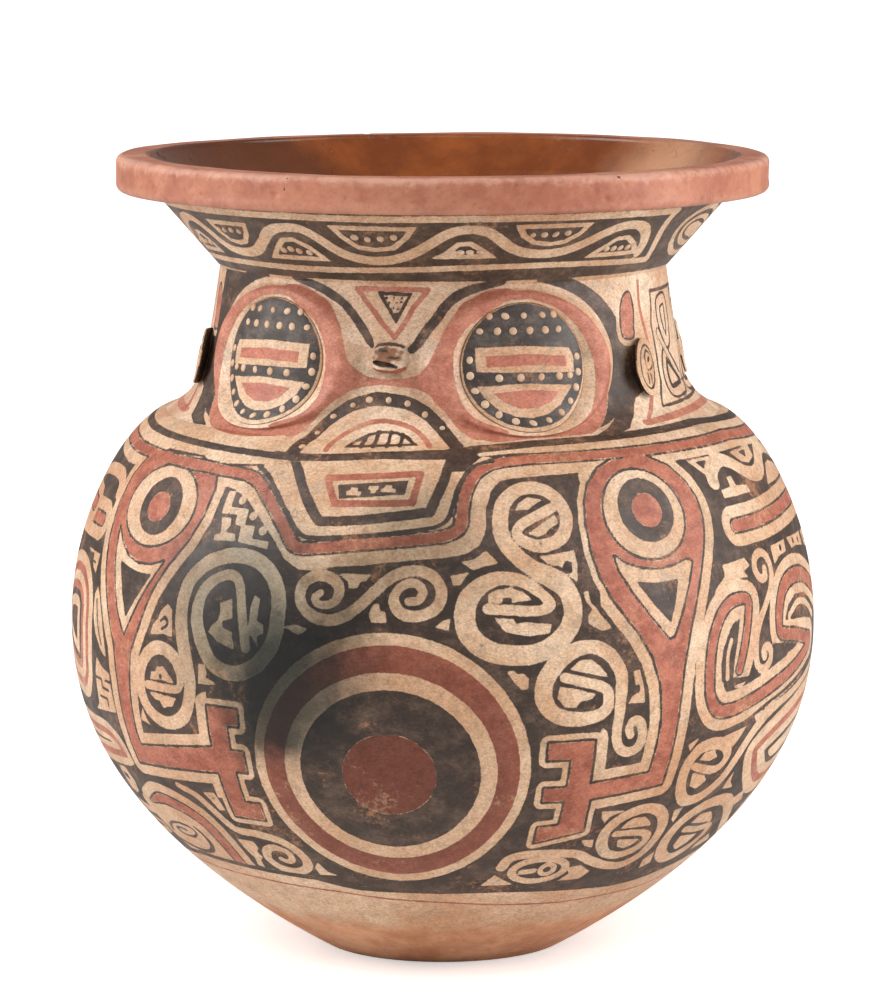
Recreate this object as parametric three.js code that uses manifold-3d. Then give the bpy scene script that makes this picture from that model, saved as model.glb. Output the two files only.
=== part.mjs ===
// A hand-built pottery urn with a face on each side of its neck.
//
// Millimetres, +Z up. The origin is the middle of the foot, on the surface that the urn stands on.
// The front face looks along -Y, and the back face is the same set of features turned half round.
// The wall is the potter's nine stages, luted together at level joints. The eyes, nose and ears
// are separate pieces of clay pressed on to the neck.

import * as THREE from "three";
import { mergeVertices } from "three/addons/utils/BufferGeometryUtils.js";
import Module from "manifold-3d";

// Radii of the outer face of the wall, from the foot to the top of the collar.
const FOOT_RADIUS = 74.6;
const BELLY_RADIUS = 225.5;
const SHOULDER_TOP_RADIUS = 167.3;
const NECK_RADIUS = 148;
const PINCH_RADIUS = 134.6;
const COLLAR_TOP_RADIUS = 174;
const WALL_THICKNESS = 13;

// Heights of the parts of the form, each standing on the one below.
const BOWL_HEIGHT = 200;
const SHOULDER_HEIGHT = 126;
const NECK_HEIGHT = 87;
const COLLAR_HEIGHT = 45;
const RIM_HEIGHT = 22;

// Roundness of the bowl, of the shoulder, and of the hollow curve at the foot of the neck.
const BOWL_SHARPNESS = 2.236;
const BOWL_FULLNESS = 0.983;
const SHOULDER_SHARPNESS = 1.877;
const SHOULDER_FULLNESS = 0.671;
const NECK_FOOT_SHARPNESS = 8;

// The stages that the bowl and shoulder are built in. The upper shoulder takes up what is left.
const SLAB_THICKNESS = 18;
const LOWER_STAGE_HEIGHT = 44;
const BOWL_STAGE_HEIGHT = 60;
const BELLY_STAGE_HEIGHT = 78;
const SHOULDER_STAGE_HEIGHT = 68;

// Rim band.
const RIM_OVERHANG = 22.3;
const RIM_TOP_WIDTH = 21;
const RIM_ROUNDING = 4.5;

// Modelled features. Widths are measured round the neck and heights up it.
const LUTING_GAP = 0.35;
const NOSE_TO_EYE_GAP = 2;
const EYE_TO_EAR_GAP = 9;
const NOSE_WIDTH = 22;
const NOSE_HEIGHT = 20;
const NOSE_PROJECTION = 10;
const NOSE_ABOVE_NECK_MIDDLE = 2;
const NOSTRIL_RADIUS = 1.7;
const NOSTRIL_SPACING = 8;
const NOSTRIL_DEPTH = 6;
const EAR_ANGLE = 66.5;
const EAR_WIDTH = 26;
const EAR_HEIGHT = 33;
const EAR_THICKNESS = 5;
const EAR_LIFT = 5;
const EAR_BELOW_NECK_MIDDLE = 9;
const EYE_RING_MARGIN = 1.5;
const EYE_RING_SIDE_WIDTH = 27.5;
const EYE_RING_TOP_WIDTH = 6;
const PELLET_BELOW_NECK_MIDDLE = 3;
const EYE_RING_RELIEF = 7.5;
const EYE_RING_EDGE = 0.8;
const EYE_MOAT_RELIEF = 3;
const PELLET_EDGE = 3.4;
const PELLET_CROWN = 3.6;

// Fineness of the solids.
const TURN_STEPS = 64;
const WALL_STEP = 26;
const NECK_STEP = 9;
const INNER_STEP = 36;
const ROUNDING_STEPS = 3;
const RING_SPOKES = 40;
const DISC_SPOKES = 28;
const PROFILE_SAMPLES = 160;

const LOWER_STAGE_TOP = SLAB_THICKNESS + LOWER_STAGE_HEIGHT;
const BOWL_STAGE_TOP = LOWER_STAGE_TOP + BOWL_STAGE_HEIGHT;
const BELLY_STAGE_TOP = BOWL_STAGE_TOP + BELLY_STAGE_HEIGHT;
const SHOULDER_STAGE_TOP = BELLY_STAGE_TOP + SHOULDER_STAGE_HEIGHT;
const SHOULDER_TOP_LEVEL = BOWL_HEIGHT + SHOULDER_HEIGHT;
const NECK_MIDDLE_LEVEL = SHOULDER_TOP_LEVEL + NECK_HEIGHT / 2;
const PELLET_LEVEL = NECK_MIDDLE_LEVEL - PELLET_BELOW_NECK_MIDDLE;
const PINCH_LEVEL = SHOULDER_TOP_LEVEL + NECK_HEIGHT;
const COLLAR_TOP_LEVEL = PINCH_LEVEL + COLLAR_HEIGHT;
const RIM_TOP_LEVEL = COLLAR_TOP_LEVEL + RIM_HEIGHT;
const RIM_RADIUS = COLLAR_TOP_RADIUS + RIM_OVERHANG;

const wasm = await Module();
wasm.setup();

const MATERIALS = {
  rimClay: new THREE.MeshStandardMaterial({ color: "#b5745a", roughness: 0.72, metalness: 0 }),
  creamSlip: new THREE.MeshStandardMaterial({ color: "#d9b894", roughness: 0.6, metalness: 0 }),
  redSlip: new THREE.MeshStandardMaterial({ color: "#b56a52", roughness: 0.6, metalness: 0 }),
  blackSlip: new THREE.MeshStandardMaterial({ color: "#4a4340", roughness: 0.6, metalness: 0 }),
  bareClay: new THREE.MeshStandardMaterial({ color: "#d2946c", roughness: 0.8, metalness: 0 }),
};

// Outer radius of the bowl, from the foot to the widest point.
function bowlRadius(level) {
  const rise = Math.min(Math.max(level / BOWL_HEIGHT, 0), 1);
  const fullness = Math.pow(1 - Math.pow(1 - rise, BOWL_SHARPNESS), BOWL_FULLNESS);
  return FOOT_RADIUS + (BELLY_RADIUS - FOOT_RADIUS) * fullness;
}

// Outer radius of the shoulder, from the widest point to the foot of the neck.
function shoulderRadius(level) {
  const rise = (level - BOWL_HEIGHT) / SHOULDER_HEIGHT;
  const fullness = Math.pow(Math.max(1 - Math.pow(rise, SHOULDER_SHARPNESS), 0), SHOULDER_FULLNESS);
  return SHOULDER_TOP_RADIUS + (BELLY_RADIUS - SHOULDER_TOP_RADIUS) * fullness;
}

// Outer radius of the neck: a straight taper, with a hollow curve where it leaves the shoulder.
function neckRadius(level) {
  const rise = (level - SHOULDER_TOP_LEVEL) / NECK_HEIGHT;
  const taper = NECK_RADIUS + (PINCH_RADIUS - NECK_RADIUS) * rise;
  return taper + (SHOULDER_TOP_RADIUS - NECK_RADIUS) * Math.pow(1 - rise, NECK_FOOT_SHARPNESS);
}

// Outer radius of the collar: a straight funnel.
function collarRadius(level) {
  const rise = (level - PINCH_LEVEL) / COLLAR_HEIGHT;
  return PINCH_RADIUS + (COLLAR_TOP_RADIUS - PINCH_RADIUS) * rise;
}

// Outer radius of the whole wall at any level.
function outerRadius(level) {
  if (level <= BOWL_HEIGHT) return bowlRadius(level);
  if (level <= SHOULDER_TOP_LEVEL) return shoulderRadius(level);
  if (level <= PINCH_LEVEL) return neckRadius(level);
  return collarRadius(level);
}

// The inner face of the wall: the outer face moved in by the wall's thickness, square to itself.
function innerProfile() {
  const points = [];
  for (let i = 0; i <= PROFILE_SAMPLES; i++) {
    const level = (COLLAR_TOP_LEVEL * i) / PROFILE_SAMPLES;
    const half = COLLAR_TOP_LEVEL / PROFILE_SAMPLES / 2;
    const below = new THREE.Vector2(outerRadius(level - half), level - half);
    const above = new THREE.Vector2(outerRadius(level + half), level + half);
    const along = above.sub(below).normalize();
    const inwards = new THREE.Vector2(-along.y, along.x).multiplyScalar(WALL_THICKNESS);
    points.push(new THREE.Vector2(outerRadius(level), level).add(inwards));
  }
  return points.sort((a, b) => a.y - b.y);
}

const INNER_PROFILE = innerProfile();

// Inner radius of the wall at any level, read between the points of the inner face.
function innerRadius(level) {
  const above = INNER_PROFILE.findIndex((point) => point.y > level);
  if (above === 0) return INNER_PROFILE[0].x;
  const high = INNER_PROFILE.at(above);
  const low = INNER_PROFILE.at(above - 1);
  if (above === -1) return high.x;
  const share = (level - low.y) / (high.y - low.y);
  return low.x + (high.x - low.x) * share;
}

// Levels from bottom to top of a stage, about one step apart.
function levelsOf(bottom, top, step) {
  const steps = Math.max(Math.ceil((top - bottom) / step), 2);
  return Array.from({ length: steps + 1 }, (_, i) => bottom + ((top - bottom) * i) / steps);
}

// A profile given as [radius, level] pairs, turned about the pot's axis.
function turned(profile) {
  const points = profile.map(([radius, level]) => new THREE.Vector2(radius, level));
  const geometry = new THREE.LatheGeometry(points, TURN_STEPS);
  return geometry.rotateX(Math.PI / 2);
}

// One coiled stage of the wall, with level faces where it is luted to its neighbours.
function wallStage(bottom, top, outerStep) {
  const outside = levelsOf(bottom, top, outerStep).map((level) => [outerRadius(level), level]);
  const inside = levelsOf(bottom, top, INNER_STEP).map((level) => [innerRadius(level), level]);
  return turned([...outside, ...inside.reverse(), outside[0]]);
}

// The slab under the pot, with the bowl's own outer curve on its edge.
function baseSlab() {
  const edge = levelsOf(0, SLAB_THICKNESS, WALL_STEP).map((level) => [outerRadius(level), level]);
  return turned([[0, 0], ...edge, [0, SLAB_THICKNESS]]);
}

// Points of a quarter round, from one heading to another, about a centre.
function rounding(radius, level, from) {
  const points = [];
  for (let i = 0; i <= ROUNDING_STEPS; i++) {
    const heading = from + (Math.PI / 2) * (i / ROUNDING_STEPS);
    points.push([radius + RIM_ROUNDING * Math.cos(heading), level + RIM_ROUNDING * Math.sin(heading)]);
  }
  return points;
}

// The band at the mouth: it overhangs the collar outside and carries its slope on inside.
function rimBand() {
  const innerFoot = innerRadius(COLLAR_TOP_LEVEL);
  const topInner = RIM_RADIUS - RIM_TOP_WIDTH;
  const outerCentre = RIM_RADIUS - RIM_ROUNDING;
  const lower = rounding(outerCentre, COLLAR_TOP_LEVEL + RIM_ROUNDING, -Math.PI / 2);
  const upper = rounding(outerCentre, RIM_TOP_LEVEL - RIM_ROUNDING, 0);
  const lip = [[topInner + RIM_ROUNDING / 2, RIM_TOP_LEVEL], [topInner, RIM_TOP_LEVEL - RIM_ROUNDING / 2]];
  const foot = [innerFoot, COLLAR_TOP_LEVEL];
  return turned([foot, ...lower, ...upper, ...lip, foot]);
}

// Radius of the neck's modelled face, which runs straight from one of its levels to the next.
function neckFaceRadius(level) {
  const steps = Math.ceil(NECK_HEIGHT / NECK_STEP);
  const place = Math.min(Math.max(((level - SHOULDER_TOP_LEVEL) / NECK_HEIGHT) * steps, 0), steps);
  const below = Math.min(Math.floor(place), steps - 1);
  const radiusAt = (step) => outerRadius(SHOULDER_TOP_LEVEL + (NECK_HEIGHT * step) / steps);
  return THREE.MathUtils.lerp(radiusAt(below), radiusAt(below + 1), place - below);
}

// A point on the neck, a distance round it (mm, from the front's middle), at a level, proud of it.
function neckPoint(around, level, proud) {
  const angle = around / outerRadius(NECK_MIDDLE_LEVEL);
  const radius = neckFaceRadius(level) + proud;
  return [radius * Math.sin(angle), -radius * Math.cos(angle), level];
}

// A closed shape from its points and triangles.
function geometryOf(points, triangles) {
  const geometry = new THREE.BufferGeometry();
  geometry.setAttribute("position", new THREE.Float32BufferAttribute(points.flat(), 3));
  geometry.setIndex(triangles);
  return geometry;
}

// Triangles between two rings of points that go round the same way.
function bandTriangles(first, second, count) {
  const triangles = [];
  for (let i = 0; i < count; i++) {
    const next = (i + 1) % count;
    triangles.push(first + i, second + next, first + next, first + i, second + i, second + next);
  }
  return triangles;
}

// A ring of clay on the neck: rings of points from its hole out over its face, and back underneath.
function clayRing(spokes, rings) {
  const count = spokes.length;
  const points = rings.flatMap((ring) => spokes.map((spoke) => ring(spoke)));
  const triangles = rings.flatMap((_, i) => bandTriangles(i * count, ((i + 1) % rings.length) * count, count));
  return geometryOf(points, triangles);
}

// A disc of clay on the neck: rings from its top's middle out, and back in to its underside's middle.
function clayDisc(spokes, rings, top, underside) {
  const count = spokes.length;
  const points = rings.flatMap((ring) => spokes.map((spoke) => ring(spoke)));
  const triangles = [];
  for (let i = 0; i + 1 < rings.length; i++) {
    triangles.push(...bandTriangles(i * count, (i + 1) * count, count));
  }
  const topIndex = points.length;
  const last = (rings.length - 1) * count;
  for (let i = 0; i < count; i++) {
    const next = (i + 1) % count;
    triangles.push(topIndex, i, next);
    triangles.push(topIndex + 1, last + next, last + i);
  }
  return geometryOf([...points, top, underside], triangles);
}

// Headings round a full turn, anticlockwise as seen from outside the neck.
function headings(count) {
  return Array.from({ length: count }, (_, i) => (2 * Math.PI * i) / count);
}

// Distance round the neck from the front's middle to the middle of an ear.
function earDistance() {
  return THREE.MathUtils.degToRad(EAR_ANGLE) * outerRadius(NECK_MIDDLE_LEVEL);
}

// The room that an eye has between the nose and the ear, and the half sizes of its pellet there.
function eyeSpan() {
  const inner = NOSE_WIDTH / 2 + NOSE_TO_EYE_GAP;
  const outer = earDistance() - EAR_WIDTH / 2 - EYE_TO_EAR_GAP;
  const halfWidth = (outer - inner) / 2;
  const halfHeight = NECK_HEIGHT / 2 - EYE_RING_MARGIN;
  return {
    middle: (inner + outer) / 2,
    halfWidth,
    halfHeight,
    pelletWidth: halfWidth - EYE_RING_SIDE_WIDTH,
    pelletHeight: halfHeight - EYE_RING_TOP_WIDTH,
  };
}

// The raised goggle round an eye: low by the pellet, highest half way out, thin at its outer edge.
function eyeRing(side) {
  const { middle, halfWidth, halfHeight, pelletWidth, pelletHeight } = eyeSpan();
  const holeWidth = pelletWidth + LUTING_GAP;
  const holeHeight = pelletHeight + LUTING_GAP;
  const at = (share, proud) => (heading) => {
    const width = holeWidth + (halfWidth - holeWidth) * share;
    const height = holeHeight + (halfHeight - holeHeight) * share;
    const level = THREE.MathUtils.lerp(PELLET_LEVEL, NECK_MIDDLE_LEVEL, share);
    return neckPoint(side * middle + width * Math.cos(heading), level + height * Math.sin(heading), proud);
  };
  const face = [
    at(0, EYE_MOAT_RELIEF),
    at(0.25, EYE_RING_RELIEF * 0.85),
    at(0.5, EYE_RING_RELIEF),
    at(0.8, EYE_RING_RELIEF * 0.6),
    at(1, EYE_RING_EDGE),
  ];
  const back = [at(1, LUTING_GAP), at(0.5, LUTING_GAP), at(0, LUTING_GAP)];
  return clayRing(headings(RING_SPOKES), [...face, ...back]);
}

// The domed disc inside the goggle.
function eyePellet(side) {
  const { middle, pelletWidth, pelletHeight } = eyeSpan();
  const at = (share, proud) => (heading) => {
    const around = side * middle + pelletWidth * share * Math.cos(heading);
    return neckPoint(around, PELLET_LEVEL + pelletHeight * share * Math.sin(heading), proud);
  };
  const dome = (share) => at(share, PELLET_EDGE + PELLET_CROWN * Math.sqrt(1 - share * share));
  const rings = [dome(0.4), dome(0.7), dome(0.9), at(1, PELLET_EDGE), at(1, LUTING_GAP), at(0.5, LUTING_GAP)];
  const top = at(0, PELLET_EDGE + PELLET_CROWN)(0);
  return clayDisc(headings(DISC_SPOKES), rings, top, at(0, LUTING_GAP)(0));
}

// The oval ear: its back edge lies on the neck and its front edge, towards the eye, stands off it.
function ear(side) {
  const level = NECK_MIDDLE_LEVEL - EAR_BELOW_NECK_MIDDLE;
  const at = (share, proud) => (heading) => {
    const forward = -share * Math.cos(heading) * side;
    const lift = EAR_LIFT * Math.pow((1 + forward) / 2, 2);
    const around = side * earDistance() + (EAR_WIDTH / 2) * share * Math.cos(heading);
    return neckPoint(around, level + (EAR_HEIGHT / 2) * share * Math.sin(heading), proud + lift);
  };
  const face = [at(0.5, EAR_THICKNESS), at(0.85, EAR_THICKNESS), at(1, EAR_THICKNESS * 0.7)];
  const back = [at(1, LUTING_GAP), at(0.5, LUTING_GAP)];
  const top = at(0, EAR_THICKNESS)(0);
  return clayDisc(headings(DISC_SPOKES), [...face, ...back], top, at(0, LUTING_GAP)(0));
}

// A closed geometry as a solid that can be cut.
function solidOf(geometry) {
  const bare = geometry.clone();
  bare.deleteAttribute("normal");
  bare.deleteAttribute("uv");
  const merged = mergeVertices(bare, 1e-4);
  const vertProperties = Float32Array.from(merged.attributes.position.array);
  const triVerts = Uint32Array.from(merged.index.array);
  return new wasm.Manifold(new wasm.Mesh({ numProp: 3, vertProperties, triVerts }));
}

// A cut solid as a geometry again.
function geometryFrom(solid) {
  const mesh = solid.getMesh();
  const geometry = new THREE.BufferGeometry();
  geometry.setAttribute("position", new THREE.Float32BufferAttribute(mesh.vertProperties, 3));
  geometry.setIndex(Array.from(mesh.triVerts));
  return geometry;
}

// The nose lug: a wedge that grows out of the brow and ends in a blunt, poked underside.
function nose() {
  const level = NECK_MIDDLE_LEVEL + NOSE_ABOVE_NECK_MIDDLE;
  const at = (share, lift) => (heading) => {
    const rise = Math.sin(heading) * share;
    const taper = 1 - 0.45 * Math.max(rise, 0);
    const around = (NOSE_WIDTH / 2) * share * taper * Math.cos(heading);
    const slope = 1 - 0.75 * Math.pow((1 + rise) / 2, 1.5);
    return neckPoint(around, level + (NOSE_HEIGHT / 2) * rise, LUTING_GAP + NOSE_PROJECTION * slope * lift);
  };
  const face = [at(0.45, 1), at(0.75, 0.95), at(0.93, 0.7), at(1, 0.3)];
  const back = [at(1, 0), at(0.5, 0)];
  const lug = clayDisc(headings(DISC_SPOKES), [...face, ...back], at(0, 1)(0), at(0, 0)(0));
  return [-1, 1].reduce((solid, side) => solid.subtract(solidOf(nostril(side))), solidOf(lug));
}

// The tool that pokes one nostril, pointing into the lug from the front and a little upwards.
function nostril(side) {
  const geometry = new THREE.CylinderGeometry(NOSTRIL_RADIUS, NOSTRIL_RADIUS, NOSTRIL_DEPTH * 2, 12);
  const level = NECK_MIDDLE_LEVEL + NOSE_ABOVE_NECK_MIDDLE - NOSE_HEIGHT / 4;
  const front = outerRadius(level) + LUTING_GAP + NOSE_PROJECTION;
  return geometry.translate((side * NOSTRIL_SPACING) / 2, -front, level);
}

function piece(name, geometry, material) {
  const mesh = new THREE.Mesh(geometry, material);
  mesh.name = name;
  return mesh;
}

// The modelled features of one face, named for the side of the pot that they are on.
function faceOf(view) {
  const group = new THREE.Group();
  for (const [hand, side] of [["left", -1], ["right", 1]]) {
    group.add(piece(`${view}_eye_ring_${hand}`, eyeRing(side), MATERIALS.redSlip));
    group.add(piece(`${view}_eye_pellet_${hand}`, eyePellet(side), MATERIALS.blackSlip));
    group.add(piece(`${view}_ear_${hand}`, ear(side), MATERIALS.creamSlip));
  }
  group.add(piece(`${view}_nose`, geometryFrom(nose()), MATERIALS.creamSlip));
  return group;
}

// The nine stages of the wall: the slab, seven coiled stages and the rim band.
function wall() {
  const stages = [
    ["lower_wall", SLAB_THICKNESS, LOWER_STAGE_TOP, WALL_STEP],
    ["bowl_wall", LOWER_STAGE_TOP, BOWL_STAGE_TOP, WALL_STEP],
    ["belly_wall", BOWL_STAGE_TOP, BELLY_STAGE_TOP, WALL_STEP],
    ["shoulder_wall", BELLY_STAGE_TOP, SHOULDER_STAGE_TOP, WALL_STEP],
    ["upper_shoulder", SHOULDER_STAGE_TOP, SHOULDER_TOP_LEVEL, WALL_STEP],
    ["neck_wall", SHOULDER_TOP_LEVEL, PINCH_LEVEL, NECK_STEP],
    ["flared_collar", PINCH_LEVEL, COLLAR_TOP_LEVEL, COLLAR_HEIGHT],
  ];
  const group = new THREE.Group();
  group.add(piece("base_slab", baseSlab(), MATERIALS.bareClay));
  for (const [name, bottom, top, step] of stages) {
    group.add(piece(name, wallStage(bottom, top, step), MATERIALS.creamSlip));
  }
  group.add(piece("rim_band", rimBand(), MATERIALS.rimClay));
  return group;
}

const urn = new THREE.Group();
const backFace = faceOf("back");
backFace.rotation.z = Math.PI;
urn.add(wall(), faceOf("front"), backFace);

export default urn;
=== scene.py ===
"""A painted pottery urn with a face on each side of its neck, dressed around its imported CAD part.

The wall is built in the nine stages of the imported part. Its painting is worked out as two distance
fields, one for the black slip and one for the red, on a plan of the wall in degrees and millimetres,
and the materials turn these into brushed slip. The back of the pot repeats the front.
"""

import logging
import math
from dataclasses import dataclass
from enum import Enum
from functools import cached_property
from typing import Callable, Iterator, Optional, Sequence

import bpy
import numpy as np
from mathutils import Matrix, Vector


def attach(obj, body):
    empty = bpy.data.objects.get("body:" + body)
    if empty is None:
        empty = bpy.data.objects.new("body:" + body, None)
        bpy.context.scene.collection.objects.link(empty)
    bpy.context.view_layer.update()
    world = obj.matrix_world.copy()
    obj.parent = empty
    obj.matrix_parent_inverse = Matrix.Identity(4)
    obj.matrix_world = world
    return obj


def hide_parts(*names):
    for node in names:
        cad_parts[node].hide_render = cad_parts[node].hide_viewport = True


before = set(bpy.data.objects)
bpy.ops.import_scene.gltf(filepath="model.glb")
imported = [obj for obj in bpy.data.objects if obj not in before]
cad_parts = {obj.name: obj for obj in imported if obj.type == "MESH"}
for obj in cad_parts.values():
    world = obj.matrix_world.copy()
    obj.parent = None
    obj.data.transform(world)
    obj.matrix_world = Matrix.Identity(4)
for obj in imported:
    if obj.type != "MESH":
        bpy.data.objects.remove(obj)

LOG = logging.getLogger("urn")
MM = 0.001
UNIT_START = -60.0
HALF_TURN = 180.0
BLACK_FIELD = "black_slip"
RED_FIELD = "red_slip"
BARE_FIELD = "bare_clay"
BAKE_MAP = "OFBake"
BARE_CLAY = 1.0
LINING = 2.0
POLE_SHARE = 0.98
Points = Sequence[tuple[float, float]]


class Slip(Enum):
    """The slips that the pot is painted with."""

    CREAM = "cream"
    RED = "red"
    BLACK = "black"


CREAM, RED, BLACK = Slip.CREAM, Slip.RED, Slip.BLACK


class Hand(Enum):
    """The side of a face that a feature is on, as the viewer sees it."""

    LEFT = -1
    RIGHT = 1


class Facing(Enum):
    """The two faces of the pot, and how far each is turned from the front, in degrees."""

    FRONT = 0
    BACK = 180


@dataclass
class UrnForm:
    """The pot's driving sizes in millimetres, and the curves that follow from them."""

    foot_radius: float = 74.6
    belly_radius: float = 225.5
    shoulder_top_radius: float = 167.3
    neck_radius: float = 148.0
    pinch_radius: float = 134.6
    collar_top_radius: float = 174.0
    wall: float = 13.0
    belly_level: float = 200.0
    shoulder_top: float = 326.0
    pinch_level: float = 413.0
    collar_top: float = 458.0
    rim_top: float = 480.0
    bowl_sharpness: float = 2.236
    bowl_fullness: float = 0.983
    shoulder_sharpness: float = 1.877
    shoulder_fullness: float = 0.671
    neck_foot_sharpness: float = 8.0
    out_of_round: float = 0.16
    coil_depth: float = 0.05
    dent_depth: float = 0.07
    samples: int = 4000
    inner_samples: int = 161

    def outer_radius(self, level: np.ndarray) -> np.ndarray:
        """Radius of the outer face.

        Args:
            level: heights above the foot.

        Returns:
            The radii at those heights.
        """
        level = np.asarray(level, float)
        rise = np.clip(level / self.belly_level, 0, 1)
        fullness = (1 - (1 - rise) ** self.bowl_sharpness) ** self.bowl_fullness
        bowl = self.foot_radius + (self.belly_radius - self.foot_radius) * fullness
        rise = np.clip((level - self.belly_level) / (self.shoulder_top - self.belly_level), 0, 1)
        fullness = (1 - rise**self.shoulder_sharpness) ** self.shoulder_fullness
        shoulder = self.shoulder_top_radius + (self.belly_radius - self.shoulder_top_radius) * fullness
        rise = np.clip((level - self.shoulder_top) / (self.pinch_level - self.shoulder_top), 0, 1)
        neck = self.neck_radius + (self.pinch_radius - self.neck_radius) * rise
        neck = neck + (self.shoulder_top_radius - self.neck_radius) * (1 - rise) ** self.neck_foot_sharpness
        rise = (level - self.pinch_level) / (self.collar_top - self.pinch_level)
        collar = self.pinch_radius + (self.collar_top_radius - self.pinch_radius) * rise
        below = [level <= self.belly_level, level <= self.shoulder_top, level <= self.pinch_level]
        return np.select(below, [bowl, shoulder, neck], collar)

    @cached_property
    def levels(self) -> np.ndarray:
        """Close-set heights from the foot to the top of the collar."""
        return np.linspace(0, self.collar_top, self.samples)

    @cached_property
    def arcs(self) -> np.ndarray:
        """Distance up the face of the wall at each of those heights."""
        radii = self.outer_radius(self.levels)
        steps = np.hypot(np.diff(radii), np.diff(self.levels))
        return np.concatenate([[0], np.cumsum(steps)])

    def arc_at(self, level: np.ndarray) -> np.ndarray:
        """Distance up the face of the wall at the given heights."""
        return np.interp(level, self.levels, self.arcs)

    def levels_between(self, bottom: float, top: float, spacing: float) -> np.ndarray:
        """Heights whose points lie evenly along the face of the wall.

        Args:
            bottom: the first height.
            top: the last height.
            spacing: wanted distance between points.

        Returns:
            The heights, from bottom to top.
        """
        low, high = self.arc_at(bottom), self.arc_at(top)
        count = max(int(round((high - low) / spacing)), 2) + 1
        return np.interp(np.linspace(low, high, count), self.arcs, self.levels)

    @cached_property
    def inner_face(self) -> tuple[np.ndarray, np.ndarray]:
        """Heights and radii of the inner face: the outer face moved in by the wall's thickness."""
        levels = np.linspace(0, self.collar_top, self.inner_samples)
        half = levels[1] / 2
        rise = np.full(levels.shape, 2 * half)
        run = self.outer_radius(levels + half) - self.outer_radius(levels - half)
        length = np.hypot(rise, run)
        radii = self.outer_radius(levels) - self.wall * rise / length
        heights = levels + self.wall * run / length
        order = np.argsort(heights)
        return heights[order], radii[order]

    def inner_radius(self, level: np.ndarray) -> np.ndarray:
        """Radius of the inner face at the given heights."""
        heights, radii = self.inner_face
        return np.interp(level, heights, radii)

    def sag(self, degrees: np.ndarray, level: np.ndarray) -> np.ndarray:
        """How far the hand-built face lies inside the true form, in millimetres, never outside it.

        Args:
            degrees: place round the pot, from the front's middle.
            level: heights.

        Returns:
            The depths.
        """
        turn = np.radians(degrees)
        slow = np.sin(2 * turn + 0.6 + level * 0.006) + np.sin(3 * turn - 1.1 - level * 0.011)
        coils = np.sin(level * 0.27 + 1.3 * np.sin(turn + 0.4)) * np.sin(4 * turn + level * 0.02)
        dents = np.sin(11 * turn + level * 0.05) * np.sin(7 * turn - level * 0.063 + 1.0)
        uneven = self.out_of_round * (2 + slow) + self.coil_depth * (1 + coils)
        return uneven + self.dent_depth * (1 + dents)


FORM = UrnForm()


@dataclass(frozen=True)
class Shape:
    """An outline on a plan: signed distance (negative inside) and the box that holds it, in mm."""

    distance: Callable[[np.ndarray, np.ndarray], np.ndarray]
    low: np.ndarray
    high: np.ndarray
    per_degree: float = 1.0


def softened(points: np.ndarray, closed: bool, steps: int = 5) -> np.ndarray:
    """A smooth path through the given points.

    Args:
        points: the points that it passes.
        closed: whether it returns to its start.
        steps: pieces between two points.

    Returns:
        The points of the smooth path.
    """
    if closed:
        padded = np.vstack([points[-1:], points, points[:2]])
    else:
        padded = np.vstack([2 * points[0] - points[1], points, 2 * points[-1] - points[-2]])
    path = []
    for before, start, end, after in zip(padded, padded[1:], padded[2:], padded[3:]):
        for share in np.arange(steps) / steps:
            bend = 2 * start + (end - before) * share
            bend = bend + (2 * before - 5 * start + 4 * end - after) * share**2
            path.append(0.5 * (bend + (3 * start - before - 3 * end + after) * share**3))
    path.append(padded[-2])
    return np.array(path)


def edge_distance(x: np.ndarray, y: np.ndarray, start: np.ndarray, end: np.ndarray) -> tuple:
    """Distance from points to one straight edge, and how far along it the nearest place is."""
    along = end - start
    share = ((x - start[0]) * along[0] + (y - start[1]) * along[1]) / max(along @ along, 1e-9)
    share = np.clip(share, 0, 1)
    return np.hypot(x - start[0] - share * along[0], y - start[1] - share * along[1]), share


def stroke_shape(path: np.ndarray, widths: np.ndarray, per_degree: float) -> Shape:
    """A brush stroke along a path, with its own width at each point."""

    def distance(x: np.ndarray, y: np.ndarray) -> np.ndarray:
        """Signed distance to the stroke's edge."""
        nearest = np.full(x.shape, np.inf)
        for start, end, first, last in zip(path, path[1:], widths, widths[1:]):
            gap, share = edge_distance(x, y, start, end)
            nearest = np.minimum(nearest, gap - (first + (last - first) * share) / 2)
        return nearest

    reach = widths.max() / 2
    return Shape(distance, path.min(0) - reach, path.max(0) + reach, per_degree)


def patch_shape(corners: np.ndarray, per_degree: float) -> Shape:
    """A filled outline with the given corners."""

    def distance(x: np.ndarray, y: np.ndarray) -> np.ndarray:
        """Signed distance to the outline."""
        nearest = np.full(x.shape, np.inf)
        inside = np.zeros(x.shape, bool)
        for start, end in zip(corners, np.roll(corners, -1, 0)):
            nearest = np.minimum(nearest, edge_distance(x, y, start, end)[0])
            if start[1] != end[1]:
                crossing = (start[1] > y) != (end[1] > y)
                meets = start[0] + (y - start[1]) * (end[0] - start[0]) / (end[1] - start[1])
                inside ^= crossing & (x < meets)
        return np.where(inside, -nearest, nearest)

    return Shape(distance, corners.min(0), corners.max(0), per_degree)


def joined(*shapes: Shape) -> Shape:
    """One shape that covers all the given ones."""

    def distance(x: np.ndarray, y: np.ndarray) -> np.ndarray:
        """Signed distance to the nearest of them."""
        return np.minimum.reduce([shape.distance(x, y) for shape in shapes])

    low = np.minimum.reduce([shape.low for shape in shapes])
    high = np.maximum.reduce([shape.high for shape in shapes])
    return Shape(distance, low, high, shapes[0].per_degree)


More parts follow.
